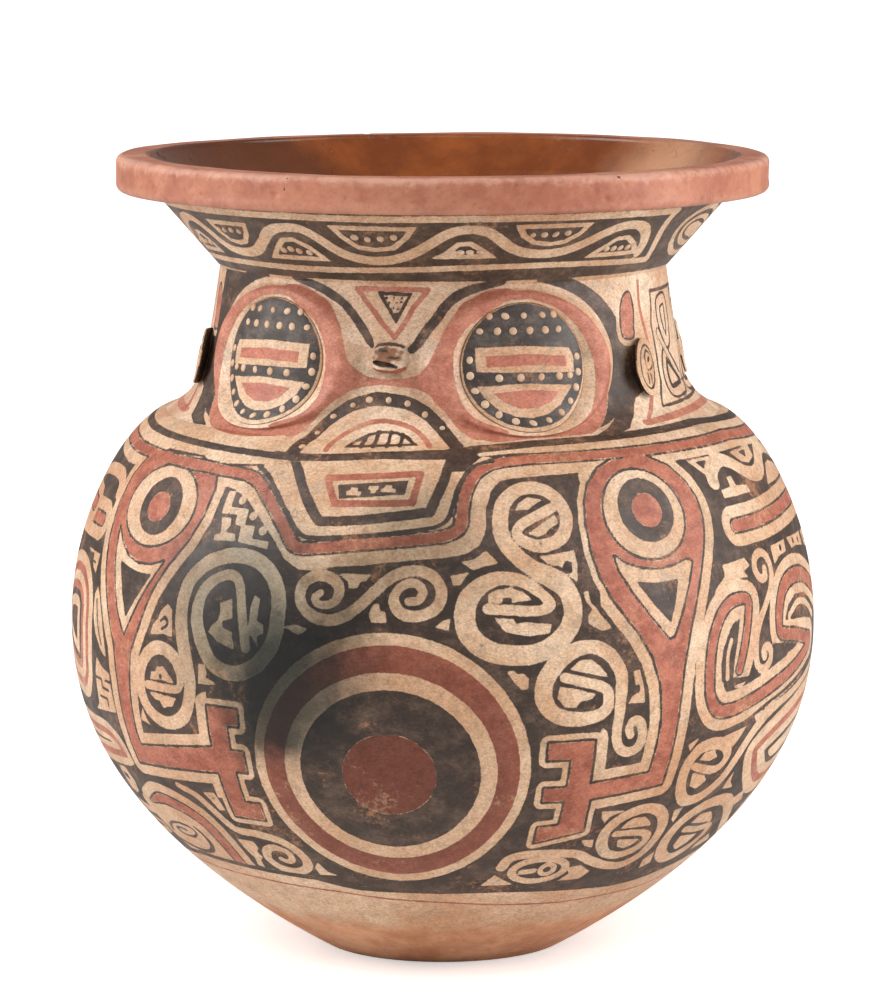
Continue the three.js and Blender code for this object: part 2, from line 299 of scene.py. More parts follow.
def clipped(shape: Shape, limit: Shape) -> Shape:
    """The part of a shape that lies inside another."""

    def distance(x: np.ndarray, y: np.ndarray) -> np.ndarray:
        """Signed distance to what both cover."""
        return np.maximum(shape.distance(x, y), limit.distance(x, y))

    return Shape(distance, np.maximum(shape.low, limit.low), np.minimum(shape.high, limit.high),
                 shape.per_degree)


@dataclass(frozen=True)
class Plan:
    """A flat plan of one zone: degrees and levels become millimetres along and up its face."""

    per_degree: float
    flat: bool = False

    def lay_out(self, points: Points) -> np.ndarray:
        """Points of the plan in millimetres."""
        given = np.array(points, float).reshape(-1, 2)
        up = given[:, 1] if self.flat else FORM.arc_at(given[:, 1])
        return np.column_stack([given[:, 0] * self.per_degree, up])

    def line(self, points: Points, width: float | Sequence[float], closed: bool = False,
             sharp: bool = False) -> Shape:
        """A stroke of one width, or of a width at each point, through points of the plan."""
        path = self.lay_out(points)
        sizes = np.broadcast_to(np.asarray(width, float), (len(path),))
        if closed:
            sizes = np.append(sizes, sizes[0])
        if sharp:
            path = np.vstack([path, path[:1]]) if closed else path
            return stroke_shape(path, sizes, self.per_degree)
        path = softened(path, closed)
        sizes = np.interp(np.linspace(0, 1, len(path)), np.linspace(0, 1, len(sizes)), sizes)
        return stroke_shape(path, sizes, self.per_degree)

    def patch(self, points: Points, soft: bool = False) -> Shape:
        """A filled outline, with corners or smooth."""
        corners = self.lay_out(points)
        return patch_shape(softened(corners, True)[:-1] if soft else corners, self.per_degree)

    def block(self, left: float, right: float, bottom: float, top: float) -> Shape:
        """An upright rectangle between two places round the pot and two levels."""
        return self.patch([(left, bottom), (right, bottom), (right, top), (left, top)])

    def oval(self, centre: tuple[float, float], half_width: float, half_height: float,
             lean: float = 0) -> Shape:
        """An oval, with its half sizes in millimetres and its lean in degrees."""
        middle = self.lay_out([centre])[0]
        tilt = math.radians(lean)

        def distance(x: np.ndarray, y: np.ndarray) -> np.ndarray:
            """Nearly the signed distance to the oval."""
            across = (x - middle[0]) * math.cos(tilt) + (y - middle[1]) * math.sin(tilt)
            upward = (y - middle[1]) * math.cos(tilt) - (x - middle[0]) * math.sin(tilt)
            share = np.hypot(across / half_width, upward / half_height)
            slope = np.hypot(across / half_width**2, upward / half_height**2)
            return np.where(share > 0.05, share * (share - 1) / np.maximum(slope, 1e-6),
                            -min(half_width, half_height))

        reach = max(half_width, half_height) if lean else np.array([half_width, half_height])
        return Shape(distance, middle - reach, middle + reach, self.per_degree)

    def round(self, middle: float, half_width: float, low: float, high: float) -> Shape:
        """An upright oval between two levels, with its middle in degrees and its half width in mm."""
        bottom, top = FORM.arc_at(np.array([low, high]))
        level = float(np.interp((bottom + top) / 2, FORM.arcs, FORM.levels))
        return self.oval((middle, level), half_width, (top - bottom) / 2)

    def stairs(self, foot: tuple[float, float], width: float, rise: float, count: int,
               lean: float = 0) -> Shape:
        """A stepped pyramid: its foot's middle on the plan, then its sizes in millimetres."""
        middle = self.lay_out([foot])[0]
        half, step = width / 2, rise / count
        left = []
        for i in range(count):
            edge = -half * (1 - i / count)
            left += [(edge, i * step), (edge, (i + 1) * step)]
        corners = np.array(left + [(-across, up) for across, up in reversed(left)])
        tilt = math.radians(lean)
        turned = np.array([[math.cos(tilt), math.sin(tilt)], [-math.sin(tilt), math.cos(tilt)]])
        return patch_shape(corners @ turned + middle, self.per_degree)


BODY = Plan(3.752)
LOWER = Plan(3.3)
SHOULDER = Plan(3.35)
MOUTH = Plan(2.75)
NECK = Plan(2.548)
COLLAR = Plan(2.7)
FEATURE = Plan(1.0, flat=True)


class Painter:
    """Lays slips over each other on a set of points, and keeps the black and the red as distances.

    REACH is the distance kept where a slip is nowhere near, and MARGIN is how far past a shape's box its
    distance is still worked out, both in millimetres.
    """

    REACH = 20.0
    MARGIN = 3.0

    def __init__(self, across: np.ndarray, up: np.ndarray) -> None:
        """Starts with bare cream.

        Args:
            across: place of each point round the pot in degrees, or in millimetres on a feature.
            up: place of each point up its face, in millimetres.
        """
        self.across = across
        self.up = up
        self.black = np.full(across.shape, self.REACH)
        self.red = np.full(across.shape, self.REACH)

    def coat(self, pick: np.ndarray, gap: np.ndarray, slip: Slip) -> None:
        """Covers the picked points with one slip where gap is negative."""
        black = gap if slip is BLACK else -gap
        red = gap if slip is RED else -gap
        choose_black = np.minimum if slip is BLACK else np.maximum
        choose_red = np.minimum if slip is RED else np.maximum
        self.black[pick] = choose_black(self.black[pick], black)
        self.red[pick] = choose_red(self.red[pick], red)

    def lay(self, shape: Shape, *coats: tuple[Slip, float]) -> None:
        """Paints a shape in one or more coats, each grown past its outline by so many millimetres."""
        room = self.MARGIN + max(grow for _, grow in coats)
        for turn in (-HALF_TURN, 0.0, HALF_TURN):
            x = (self.across + turn) * shape.per_degree
            inside = (x > shape.low[0] - room) & (x < shape.high[0] + room)
            inside &= (self.up > shape.low[1] - room) & (self.up < shape.high[1] + room)
            pick = np.flatnonzero(inside)
            if not len(pick):
                continue
            gap = shape.distance(x[pick], self.up[pick])
            for slip, grow in coats:
                self.coat(pick, gap - grow, slip)

    def zone(self, slip: Slip, lower: Points, upper: Points) -> None:
        """Paints all round the pot between two lines of degrees and levels."""
        bottom = np.array(lower, float)
        top = np.array(upper, float)
        low = np.interp(self.across, bottom[:, 0], FORM.arc_at(bottom[:, 1]), period=HALF_TURN)
        high = np.interp(self.across, top[:, 0], FORM.arc_at(top[:, 1]), period=HALF_TURN)
        gap = np.maximum(self.up - high, low - self.up)
        self.coat(np.arange(len(gap)), gap, slip)

    def dots(self, plan: Plan, slip: Slip, centres: Points, radius: float) -> None:
        """Paints round dots."""
        for centre in centres:
            self.lay(plan.oval(centre, radius, radius), (slip, 0.0))


def folded(degrees: np.ndarray) -> np.ndarray:
    """Places round the pot brought into the one half turn that the painting repeats."""
    return (degrees - UNIT_START) % HALF_TURN + UNIT_START


def mirrored(points: Points, side: int, middle: float = 0.0) -> list[tuple[float, float]]:
    """Points of one half of a figure, kept on its right (1) or turned over to its left (-1)."""
    return [(middle + side * (x - middle), z) for x, z in points]


class PotPainting:
    """The whole painting of the wall, laid from the ground up.

    The levels named at its head say which pieces reach far enough to need each part of it.
    """

    BODY_TOP = FORM.shoulder_top + 1
    DROPS_FOOT = 90.0
    PANEL_FOOT = 250.0
    RINGS_FOOT = 290.0
    NECK_FOOT = 318.0
    NECK_TOP = FORM.pinch_level + 6
    COLLAR_FOOT = FORM.pinch_level - 2
    GROUND_TOP = [(-60, 300.5), (-45, 300.3), (-30, 299.5), (-24, 297.7), (24, 308), (30, 309), (45, 310.5),
                  (60, 311), (80, 311.3), (100, 307)]
    BASE_LINE = [(-60, 68), (-45, 72), (-27, 71), (-14, 70), (-10, 67.5), (-5, 65), (10, 64.5), (25, 64.5),
                 (40, 62), (52, 60), (60, 61), (70, 65), (80, 69), (100, 70)]
    RED_LOW = [(-60, 307.4), (-45, 306.5), (-30, 305.3), (25, 315.8), (80, 316), (100, 311)]
    RED_HIGH = [(-60, 312), (-45, 311), (-30, 309.3), (25, 319.6), (80, 320.3), (100, 316)]
    LEFT_DROP = [(-54, 296), (-54.1, 280), (-53.3, 262), (-51.5, 243), (-48.8, 221), (-46.3, 201),
                 (-45.6, 180), (-45.5, 150), (-45.3, 130), (-24.8, 135), (-24.8, 107), (-18.6, 107),
                 (-18.6, 117.5), (-21.5, 117.5), (-21.5, 137.5), (-19.2, 137.5), (-19.2, 150), (-21.5, 150),
                 (-21.5, 165.5), (-19.4, 165.5), (-19.4, 175.5), (-24.8, 175.5), (-24.8, 150.5),
                 (-42.4, 142), (-42.8, 150), (-42.4, 175), (-41.7, 198), (-39.6, 215), (-37.2, 237),
                 (-34.6, 252), (-31.2, 268), (-29.5, 282), (-29.2, 297), (-30.5, 306), (-36, 312),
                 (-47, 312), (-52.5, 306)]
    RIGHT_DROP = [(57.9, 299), (58.7, 290), (58.5, 280), (57.6, 270), (56.3, 260), (53.8, 240), (51.6, 220),
                  (50.2, 200), (49.7, 180), (49.5, 160), (49.3, 128), (43, 126), (36.2, 123.6), (36.4, 112),
                  (36.8, 102.5), (28.3, 96.8), (28.3, 107.2), (32, 107.8), (32, 123.8), (28.2, 124),
                  (28.2, 132.6), (32, 132.4), (32, 150), (28.2, 150.2), (28.2, 160.5), (35.4, 160.5),
                  (35.6, 133.6), (46.1, 136.8), (46.4, 150), (46.6, 170), (46, 190), (44.6, 206),
                  (42.5, 220), (40.3, 231), (38.3, 241.5), (36.7, 254), (35.8, 268), (35.7, 282),
                  (36.2, 294), (37.6, 303), (40.5, 311), (45, 316), (51, 316), (55.5, 309)]

    def __init__(self, degrees: np.ndarray, level: np.ndarray) -> None:
        """Paints the points of a piece.

        Args:
            degrees: place of each point round the pot, from the front's middle.
            level: height of each point.
        """
        self.painter = Painter(folded(degrees), FORM.arc_at(level))
        self.lay = self.painter.lay
        self.dots = self.painter.dots
        low, high = float(level.min()), float(level.max())
        if low < self.BODY_TOP:
            self.body()
        if high > self.RINGS_FOOT:
            self.neck_rings()
        if high > self.DROPS_FOOT and low < self.BODY_TOP:
            self.drops()
            self.painter.zone(RED, self.RED_LOW, self.RED_HIGH)
            self.belly_circle()
        if high > self.PANEL_FOOT:
            self.mouth_panel()
        if high > self.NECK_FOOT and low < self.NECK_TOP:
            self.neck()
            self.mouth()
        if high > self.COLLAR_FOOT:
            self.collar()

    def body(self) -> None:
        """The bowl and shoulder: black ground, with every motif in cream and red on it."""
        self.painter.zone(BLACK, self.BASE_LINE, self.GROUND_TOP)
        self.left_panel()
        self.right_panel()
        self.lower_left_scrolls()
        self.lower_right_scrolls()
        self.left_spirals()
        self.right_spirals()
        self.step_panel()
        self.belly_scroll()
        self.drop_borders()
        self.base()

    def base(self) -> None:
        """The bare foot, its black line and its thin red line."""
        below = [(place, level - 3.2) for place, level in self.BASE_LINE]
        self.painter.zone(CREAM, [(-60, -50), (100, -50)], below)
        self.painter.zone(BLACK, below, self.BASE_LINE)
        red = [(-60, 62), (-30, 62), (-10, 60), (0, 57), (13, 55), (25, 52), (40, 50), (65, 51), (90, 58)]
        self.painter.zone(RED, [(place, level - 1.2) for place, level in red], red)

    def belly_circle(self) -> None:
        """The great ringed circle low on the belly."""
        centre = (4.3, 141.5)
        rings = [(BLACK, 83.4, 88.2), (CREAM, 80.5, 85), (RED, 74.4, 78), (CREAM, 61.5, 62.5),
                 (BLACK, 52, 52.5), (RED, 27, 26.5)]
        for slip, half_width, half_height in rings:
            self.lay(BODY.oval(centre, half_width, half_height), (slip, 0))

    def drop_borders(self) -> None:
        """The cream round the two eyed teardrops, wide beside their heads and narrow round their combs."""
        heads = (BODY.block(-60, -27, 125, 320), BODY.block(38.5, 64, 124, 322))
        for corners, head in zip((self.LEFT_DROP, self.RIGHT_DROP), heads):
            drop = BODY.patch(corners)
            self.lay(clipped(drop, head), (CREAM, 8.3))
            self.lay(drop, (CREAM, 5))

    def drops(self) -> None:
        """The red teardrops with their combs, each with a ringed eye and a pointed beak under it."""
        beaks = (
            ([(-50.5, 267.5), (-48, 259), (-45, 252.5), (-42, 250), (-38.5, 250.8), (-35.6, 254),
              (-38.7, 238), (-41.3, 222), (-43.4, 208.5), (-45.5, 220), (-47.3, 235), (-49, 250)],
             [(-47, 249), (-44, 246.5), (-41, 245), (-38.2, 245.2), (-40.5, 233), (-43.2, 219), (-45, 233)]),
            ([(39.5, 264.5), (41.3, 259.5), (44, 256), (47, 254.8), (50, 255.8), (52.6, 258.5), (53.8, 257),
              (52.4, 246), (50.6, 232), (48.5, 217), (47.6, 216), (45, 228), (42, 243), (40, 256)],
             [(42.8, 249), (46, 247.4), (50.2, 248), (49.4, 238), (48, 225), (45.4, 236)]),
        )
        eyes = (((-41.2, 34.5, 261, 305.5), (-40.7, 20, 267, 299.3), (-41, 10.8, 274.5, 291)),
                ((46.9, 28.9, 261, 309), (47.3, 20, 270, 304.5), (47.4, 10.6, 278, 296.5)))
        drops = (self.LEFT_DROP, self.RIGHT_DROP)
        for corners, (beak, throat), (white, ring, middle) in zip(drops, beaks, eyes):
            self.lay(BODY.patch(corners), (BLACK, 1.6), (RED, -0.2))
            self.lay(BODY.patch(beak), (BLACK, 1.3), (CREAM, -0.3))
            self.lay(BODY.patch(throat), (BLACK, 0.4))
            self.lay(BODY.round(*white), (BLACK, 1.5), (CREAM, -0.3))
            self.lay(BODY.round(*ring), (BLACK, 0))
            self.lay(BODY.round(*middle), (RED, 0))

    def stroke(self, plan: Plan, slip: Slip, points: Points, width: float | Sequence[float]) -> None:
        """One stroke in one slip."""
        self.lay(plan.line(points, width), (slip, 0))

    def chips(self, plan: Plan, slip: Slip, *shapes: Points) -> None:
        """Small filled shapes, each given by its corners."""
        for corners in shapes:
            self.lay(plan.patch(corners), (slip, 0.2))

    def step_panel(self) -> None:
        """The stepped key figures left of the mouth panel."""
        self.dots(BODY, CREAM, [(-22.5, 292.5), (-19.5, 284.8), (-17.1, 277.3)], 2.7)
        self.chips(BODY, CREAM,
                   [(-25.8, 284.6), (-24.4, 284.6), (-24.4, 296.5), (-25.8, 296.5)],
                   [(-24.2, 288.3), (-20.7, 288), (-20.7, 279.4), (-18.8, 279.2), (-18.8, 272.6),
                    (-15.7, 271.6), (-15.7, 268), (-21.2, 270.4), (-21.3, 278.8), (-22.5, 279.6),
                    (-22.6, 284.7), (-24.2, 284.9)],
                   [(-25.6, 282.5), (-23.7, 282.3), (-23.4, 278.5), (-24.3, 274.5), (-22.2, 274.3),
                    (-21.8, 270.6), (-26, 269.8), (-26, 272.8), (-24.9, 273.5), (-25.1, 279)])

    def left_spirals(self) -> None:
        """The big smudged spiral beside the teardrop, and the one that hangs from it."""
        big = [(-28, 190), (-28.5, 200), (-29.3, 212), (-29.9, 225), (-29.8, 237), (-28.9, 247),
               (-26.3, 256.5), (-22.5, 262), (-18.5, 262.5), (-15, 257), (-12.9, 246), (-12.5, 233),
               (-13, 218), (-15, 205.5), (-18, 198), (-20.8, 196.8), (-23.4, 201), (-25.4, 211),
               (-26.7, 224), (-26.6, 236), (-25.2, 245.5), (-22.6, 251.2), (-20.6, 251.5), (-19.5, 247),
               (-18.9, 238), (-18.4, 228), (-17.9, 219), (-17.6, 212)]
        self.stroke(BODY, CREAM, big, [9.3] * 5 + [9] * 14 + [8, 7, 6, 6, 6, 6, 6, 6, 6])
        small = [(-28.2, 197), (-27.9, 188), (-28.3, 177), (-29.9, 166.5), (-33, 161.2), (-36.3, 163.5),
                 (-38.5, 171.5), (-39.1, 183), (-38.2, 195), (-35.9, 203.6), (-33.5, 205.2), (-31.2, 201.5),
                 (-30, 193), (-30, 184.5), (-31.5, 182), (-34.5, 182), (-37.3, 182)]
        self.stroke(BODY, CREAM, small, [8.5] * 4 + [8] * 8 + [6, 5, 5, 5, 5])
        self.left_chips()

    def left_chips(self) -> None:
        """The small figures in and beside the two spirals."""
        self.chips(BODY, CREAM,
                   [(-22.6, 236), (-20.6, 238.5), (-20.2, 228), (-22, 226), (-21.8, 222), (-20.2, 220),
                    (-19.6, 210.5), (-22.5, 214), (-24.3, 219), (-23.7, 223), (-22.6, 226), (-22.5, 231)],
                   [(-16.7, 242), (-15.7, 240), (-16, 228), (-14.9, 226), (-14.7, 221), (-15.8, 220),
                    (-15.5, 213), (-17.2, 222), (-17.1, 235)],
                   [(-36.4, 186), (-36.2, 190), (-35.1, 190.5), (-34.9, 193.5), (-33.5, 194.5),
                    (-32.6, 191.5), (-31.9, 189), (-31.2, 185.8), (-33.8, 186.6)],
                   [(-37, 178), (-35.8, 174.5), (-34.6, 173.8), (-34, 170), (-32, 172), (-31, 177)],
                   [(-33, 231), (-32, 228), (-31.7, 219), (-31.6, 212.5), (-33.5, 214), (-34.6, 213),
                    (-36.4, 212.5), (-36, 217), (-34.8, 222), (-34.2, 227)],
                   [(-26, 199.5), (-25, 199.5), (-24.6, 195), (-24.8, 192), (-22.6, 189), (-26.2, 188)],
                   [(-39.4, 167), (-38.8, 160.5), (-38, 157.5), (-40.2, 159.5)])
        self.stroke(BODY, BLACK, [(-34.2, 221), (-33.3, 223), (-32.7, 219.5), (-33.8, 216.5)], 2.2)
        self.dots(BODY, BLACK, [(-34.1, 188.6)], 1.5)

    def belly_scroll(self) -> None:
        """The double scroll over the belly circle."""
        scroll = [(-6, 246), (-6.9, 243), (-6.2, 239.8), (-4.4, 240), (-3.2, 244.5), (-3.3, 250.5),
                  (-4.6, 254.5), (-6.6, 255.3), (-8.5, 252), (-9.2, 245.5), (-8.7, 238.5), (-7, 233),
                  (-4.6, 231), (-2, 234), (0.3, 240.5), (2.3, 248), (4.6, 255.5), (7.4, 259.5), (10, 258.5),
                  (11.8, 253), (12.2, 245.5), (11.2, 238.5), (8.8, 234.8), (6.6, 235.8), (5.4, 240.5),
                  (5.3, 246.5), (6.6, 251.8), (8.4, 252.8), (9.5, 248.5), (8.8, 243.5), (7.4, 242.8)]
        self.stroke(BODY, CREAM, scroll, [4, 4, 4, 4.4, 5.2] + [6.5] * 20 + [5] * 6)
        self.chips(BODY, CREAM,
                   [(-3.4, 257), (1.6, 257), (0.8, 253.5), (0, 253), (-0.4, 249.5), (-1.6, 249.5),
                    (-1.8, 253)],
                   [(2, 231), (4.2, 231), (4, 237), (3.2, 237), (3, 241), (2.2, 241), (1.6, 236)],
                   [(11.4, 229), (13.2, 227), (13.4, 233), (12.4, 232)],
                   [(-11.4, 226), (-9, 222), (-7.8, 225.5), (-9.6, 227.5)],
                   [(13.6, 257), (16.2, 258.6), (15, 252), (14, 252)])

    def right_spirals(self) -> None:
        """The chain of spirals between the mouth panel and the right teardrop."""
        first = [(30.5, 249), (27, 258), (24.2, 265.5), (22, 275), (21.5, 285), (22.3, 295), (24.6, 301.5),
                 (27.5, 303), (30.3, 300), (32.2, 292), (32.3, 283), (30.9, 275.5), (28, 272), (25.5, 274),
                 (24, 279), (25, 284), (27.5, 288), (30.2, 292)]
        second = [(27, 258), (30.2, 252), (31.6, 243), (31.7, 232), (30, 221.5), (26.8, 214), (23, 212.3),
                  (19, 215.5), (16.4, 223.5), (15.6, 234), (16.3, 245), (18.6, 252.5), (21.3, 255.3),
                  (24.5, 253), (27, 246.5), (28.4, 240), (26.6, 237), (22, 237.8), (19, 238.7)]
        third = [(39.2, 186), (39.2, 197), (38, 207), (36, 213.5), (33.6, 215.3), (31, 212.5), (28.6, 205),
                 (27.2, 196), (27.2, 186), (28.5, 178.5), (31, 174.5), (34, 174), (36.8, 178), (37.1, 188),
                 (36, 192), (33.5, 195), (30.3, 198.5)]
        tail = [(39.2, 190), (39.1, 176), (38.9, 162), (39.8, 154), (41.3, 151.5), (42.9, 154), (43.4, 161),
                (42.8, 168.5), (41.6, 170.5), (40.9, 166), (41.3, 161.5)]
        self.stroke(BODY, CREAM, first, [9.5] * 6 + [8] * 7 + [7, 6, 6, 6, 6])
        self.stroke(BODY, CREAM, second, [11] * 6 + [11.5] * 5 + [9, 8, 7, 6, 6, 6, 6, 6])
        self.stroke(BODY, CREAM, third, [7.5, 7.5, 8, 8, 8, 9, 10, 10, 10, 9, 9, 8, 7, 6, 6, 6, 6])
        self.stroke(BODY, CREAM, tail, [7, 6.5, 6, 6, 6, 6, 6, 6, 5, 5, 5])
        self.right_chips()

    def right_chips(self) -> None:
        """The small figures in and between these spirals."""
        self.chips(BODY, CREAM,
                   [(24.2, 291.5), (24.8, 295), (26.5, 298), (28.8, 296.5), (27.3, 294), (26.3, 291.8)],
                   [(25.8, 279), (28.3, 284), (30.6, 288), (30.9, 284), (29.6, 281.5), (28.6, 278.6),
                    (27.4, 277.2)],
                   [(19.2, 242.6), (19.2, 246.5), (20.4, 249), (22.5, 250), (24.3, 247.4), (25.6, 243),
                    (22.6, 242)],
                   [(20, 233.5), (22.7, 232.8), (23.1, 230), (24.8, 230.5), (28.4, 229), (28, 224.5),
                    (25, 223), (21.5, 226)],
                   [(31.1, 203), (32.5, 207.5), (34.2, 208), (35.5, 204.5), (37, 197.5), (34.6, 199.6)],
                   [(29.6, 193.5), (32.5, 190.8), (35, 188), (34.3, 185), (32.8, 184.6), (32, 181),
                    (30.4, 181.5), (29.2, 187)],
                   [(27.2, 266.5), (30.5, 267.5), (32.8, 268.8), (33.1, 262), (32.9, 252), (31.4, 256),
                    (30.3, 261), (28.6, 262.5)],
                   [(33.7, 246), (34.4, 246), (34.6, 240), (35.6, 236), (36.1, 232.5), (37.8, 225),
                    (36.2, 223.8), (35, 226.5), (34.2, 228.5), (34.2, 233), (34.9, 236), (34.1, 240)],
                   [(21.6, 203), (22.6, 204), (23.2, 201.5), (24, 202), (24.8, 199), (24.7, 193.5),
                    (23.8, 192.8), (23.1, 196), (22.5, 199)],
                   [(41.2, 199), (42.2, 199.5), (42.9, 190), (43.2, 180.5), (40.6, 181), (41, 184.5),
                    (41.8, 186.5)],
                   [(15.2, 264.5), (17, 265.5), (19, 270), (20.3, 266), (20.8, 263.5), (18.6, 262),
                    (17, 260.2)])
        self.chips(BODY, BLACK,
                   [(30.6, 259), (31.4, 263.5), (32.3, 262.5), (32.2, 257), (31.4, 256.5)],
                   [(21.2, 241.5), (21.3, 244.4), (22.5, 244.4), (22.6, 241.5)],
                   [(41.5, 191), (42.2, 191), (42.3, 186.5), (41.6, 186.5)])

    def lower_left_scrolls(self) -> None:
        """The red fin, its long spiral, and the scroll beside it."""
        fin = LOWER.line([(-49.5, 102.5), (-46, 106), (-43.5, 107.5), (-40, 106), (-37, 103), (-34.5, 98),
                          (-33, 90), (-32.2, 80), (-31.9, 70), (-31.7, 62)],
                         [2, 6, 8, 8.5, 8.5, 9, 9, 9, 9, 9])
        under = LOWER.patch([(-52, 92), (-52, 100), (-40, 103), (-35, 92), (-34, 76), (-36, 68), (-48, 68)])
        self.lay(joined(fin, under), (CREAM, 6))
        self.lay(fin, (CREAM, 8.5), (BLACK, 1.5), (RED, -0.2))
        coil = LOWER.line([(-50.5, 83), (-48.5, 88.5), (-44.5, 91.3), (-40.8, 90.6), (-39.9, 87),
                           (-42, 83.4), (-45.5, 83.2), (-47.2, 85.5), (-45.4, 87.6), (-43.2, 87)], 2.2)
        hook = LOWER.line([(-39, 92), (-37.6, 87), (-37.4, 81), (-39, 76), (-42, 73.6), (-47, 74),
                           (-52, 77)],
                          [2, 3, 4, 4, 3.4, 3, 2.4])
        self.lay(joined(coil, hook), (BLACK, 0))
        scroll = [(-36, 120.8), (-32.5, 117), (-30.2, 110), (-28.2, 102), (-26.3, 97), (-22, 96.2),
                  (-18, 94), (-15.3, 89), (-13.9, 82), (-14.5, 75.5), (-17.5, 72), (-21, 73.5), (-22.6, 79),
                  (-21.6, 85.5), (-19.5, 88), (-17.3, 86), (-16.8, 81.5), (-18, 78.6), (-19.4, 80)]
        self.stroke(LOWER, CREAM, scroll, [4.5, 5, 5.5, 6, 6, 6.5, 6.5, 6.5, 6.5, 6.5, 6.5, 6.5, 6.5, 6, 5.5,
                                           5, 4.6,
                                           4.4, 4])
        self.chips(LOWER, CREAM,
                   [(-27.6, 90), (-24, 90), (-23.6, 86), (-24.6, 83), (-24, 79.5), (-25.2, 76.5),
                    (-25.4, 71.5), (-26.8, 72.5), (-26.2, 78), (-27.2, 84)],
                   [(-12.6, 76.5), (-11.6, 80), (-10.4, 74), (-8.6, 72), (-12.4, 71.5)],
                   [(-30, 119.5), (-27.6, 120.5), (-26.6, 110), (-28, 109), (-28.6, 113)],
                   [(-58.5, 105), (-57, 120), (-53.6, 121), (-52.6, 113), (-54, 106), (-56, 103)],
                   [(-60, 98), (-53.6, 95.5), (-52.8, 91), (-60, 90)],
                   [(-60, 87.5), (-54, 86), (-53, 80), (-56, 77), (-60, 77.5)])
        self.chips(LOWER, BLACK,
                   [(-57, 113), (-56.4, 116.5), (-54.6, 116), (-54.8, 112)],
                   [(-60, 84.5), (-55.4, 83.6), (-55, 81), (-60, 81)])

    def lower_right_scrolls(self) -> None:
        """The chain of spirals low on the right."""
        self.lay(LOWER.oval((31, 76.5), 20.5, 13.5), (CREAM, 0), (BLACK, -5.5))
        self.stroke(LOWER, CREAM, [(27.6, 76), (29.8, 76.4)], 5)
        self.lay(LOWER.oval((32.6, 76.8), 6.4, 6.6), (CREAM, 0), (BLACK, -3.8))
        low = [(23.4, 80), (24.6, 86.5), (28, 88.6), (33, 88.2), (37.5, 86), (41, 80.5), (45, 75.6),
               (49.5, 73.5), (53.2, 79), (54.3, 90), (53.7, 101), (51.2, 110), (47.5, 112.8), (43.8, 109),
               (41.6, 101), (41.7, 92), (43.6, 84.8), (47, 81.6), (50.4, 84), (51.9, 90), (50.6, 95),
               (47, 97), (43.8, 97.6)]
        middle = [(73, 162), (68.5, 149), (65.9, 134), (63.8, 122), (60.5, 114.5), (57, 113), (54.8, 118),
                  (53.6, 128), (53.7, 138), (55.3, 146), (58, 148.5), (61, 146.5), (62.9, 140),
                  (62.4, 133.6), (60.5, 131), (57.8, 133), (55.4, 136)]
        far = [(84, 78), (79, 86), (75, 96), (70.5, 105.5), (65.5, 107.5), (61, 103.5), (58.3, 95),
               (58.1, 84), (60.3, 75), (64.5, 70.5), (69, 74), (71.4, 82), (70.6, 88.5), (66, 89.2),
               (61.8, 91.5)]
        self.stroke(LOWER, CREAM, low, [7] * 7 + [7.5] * 9 + [7, 7, 6.5, 6, 5.5, 5, 5])
        self.stroke(BODY, CREAM, middle, [8] * 12 + [7, 6, 5.5, 5.5, 5])
        self.stroke(LOWER, CREAM, far, [9] * 11 + [7.5, 6, 5.5, 5])
        self.lower_right_chips()

    def lower_right_chips(self) -> None:
        """The small figures in and between them."""
        self.chips(LOWER, CREAM,
                   [(44.4, 101), (45, 104.5), (46.2, 107), (48.6, 107), (50, 103.5), (51, 100.4)],
                   [(45, 93.2), (50, 91.4), (49, 88), (47.4, 86.4), (45.6, 88.4)],
                   [(62.4, 95.5), (64, 100.5), (67, 100), (69.2, 95), (70, 92), (66, 93.4)],
                   [(62, 86.6), (67.8, 85), (67, 80), (64.4, 76.4), (62.2, 80)],
                   [(39.2, 114.5), (43.4, 113.3), (41, 110.4), (40.5, 106.5), (39.6, 110)],
                   [(55, 108), (56.8, 108.8), (56.5, 99.5), (55.6, 102)],
                   [(37.2, 96), (39.6, 95.4), (40, 90), (38.4, 91.6)],
                   [(36.8, 76.5), (39.6, 77.5), (42.4, 72), (41, 67.4), (36.2, 67.4), (38, 72)],
                   [(20, 67), (22.4, 74.6), (24.4, 70.4), (26.4, 67.2)],
                   [(55.4, 74), (57, 78.6), (58.6, 70.6), (56.4, 67.6)],
                   [(75.5, 80), (80, 73.6), (73, 71), (72.8, 74.6)])
        self.chips(BODY, CREAM,
                   [(56.3, 139.6), (57, 143.6), (59.2, 143.8), (60.3, 139.4), (58.6, 137.6)],
                   [(55.6, 131.4), (58.6, 128.4), (59.6, 124.8), (57.8, 120.6), (56, 123.6)],
                   [(60.6, 151.5), (66, 154.5), (65, 149), (63.8, 143.6), (62.6, 147.6)],
                   [(66, 115.5), (69.5, 114.5), (67.6, 119), (67.2, 126), (66.5, 121)],
                   [(52.8, 150.6), (54.6, 153.4), (53.4, 146.6)])

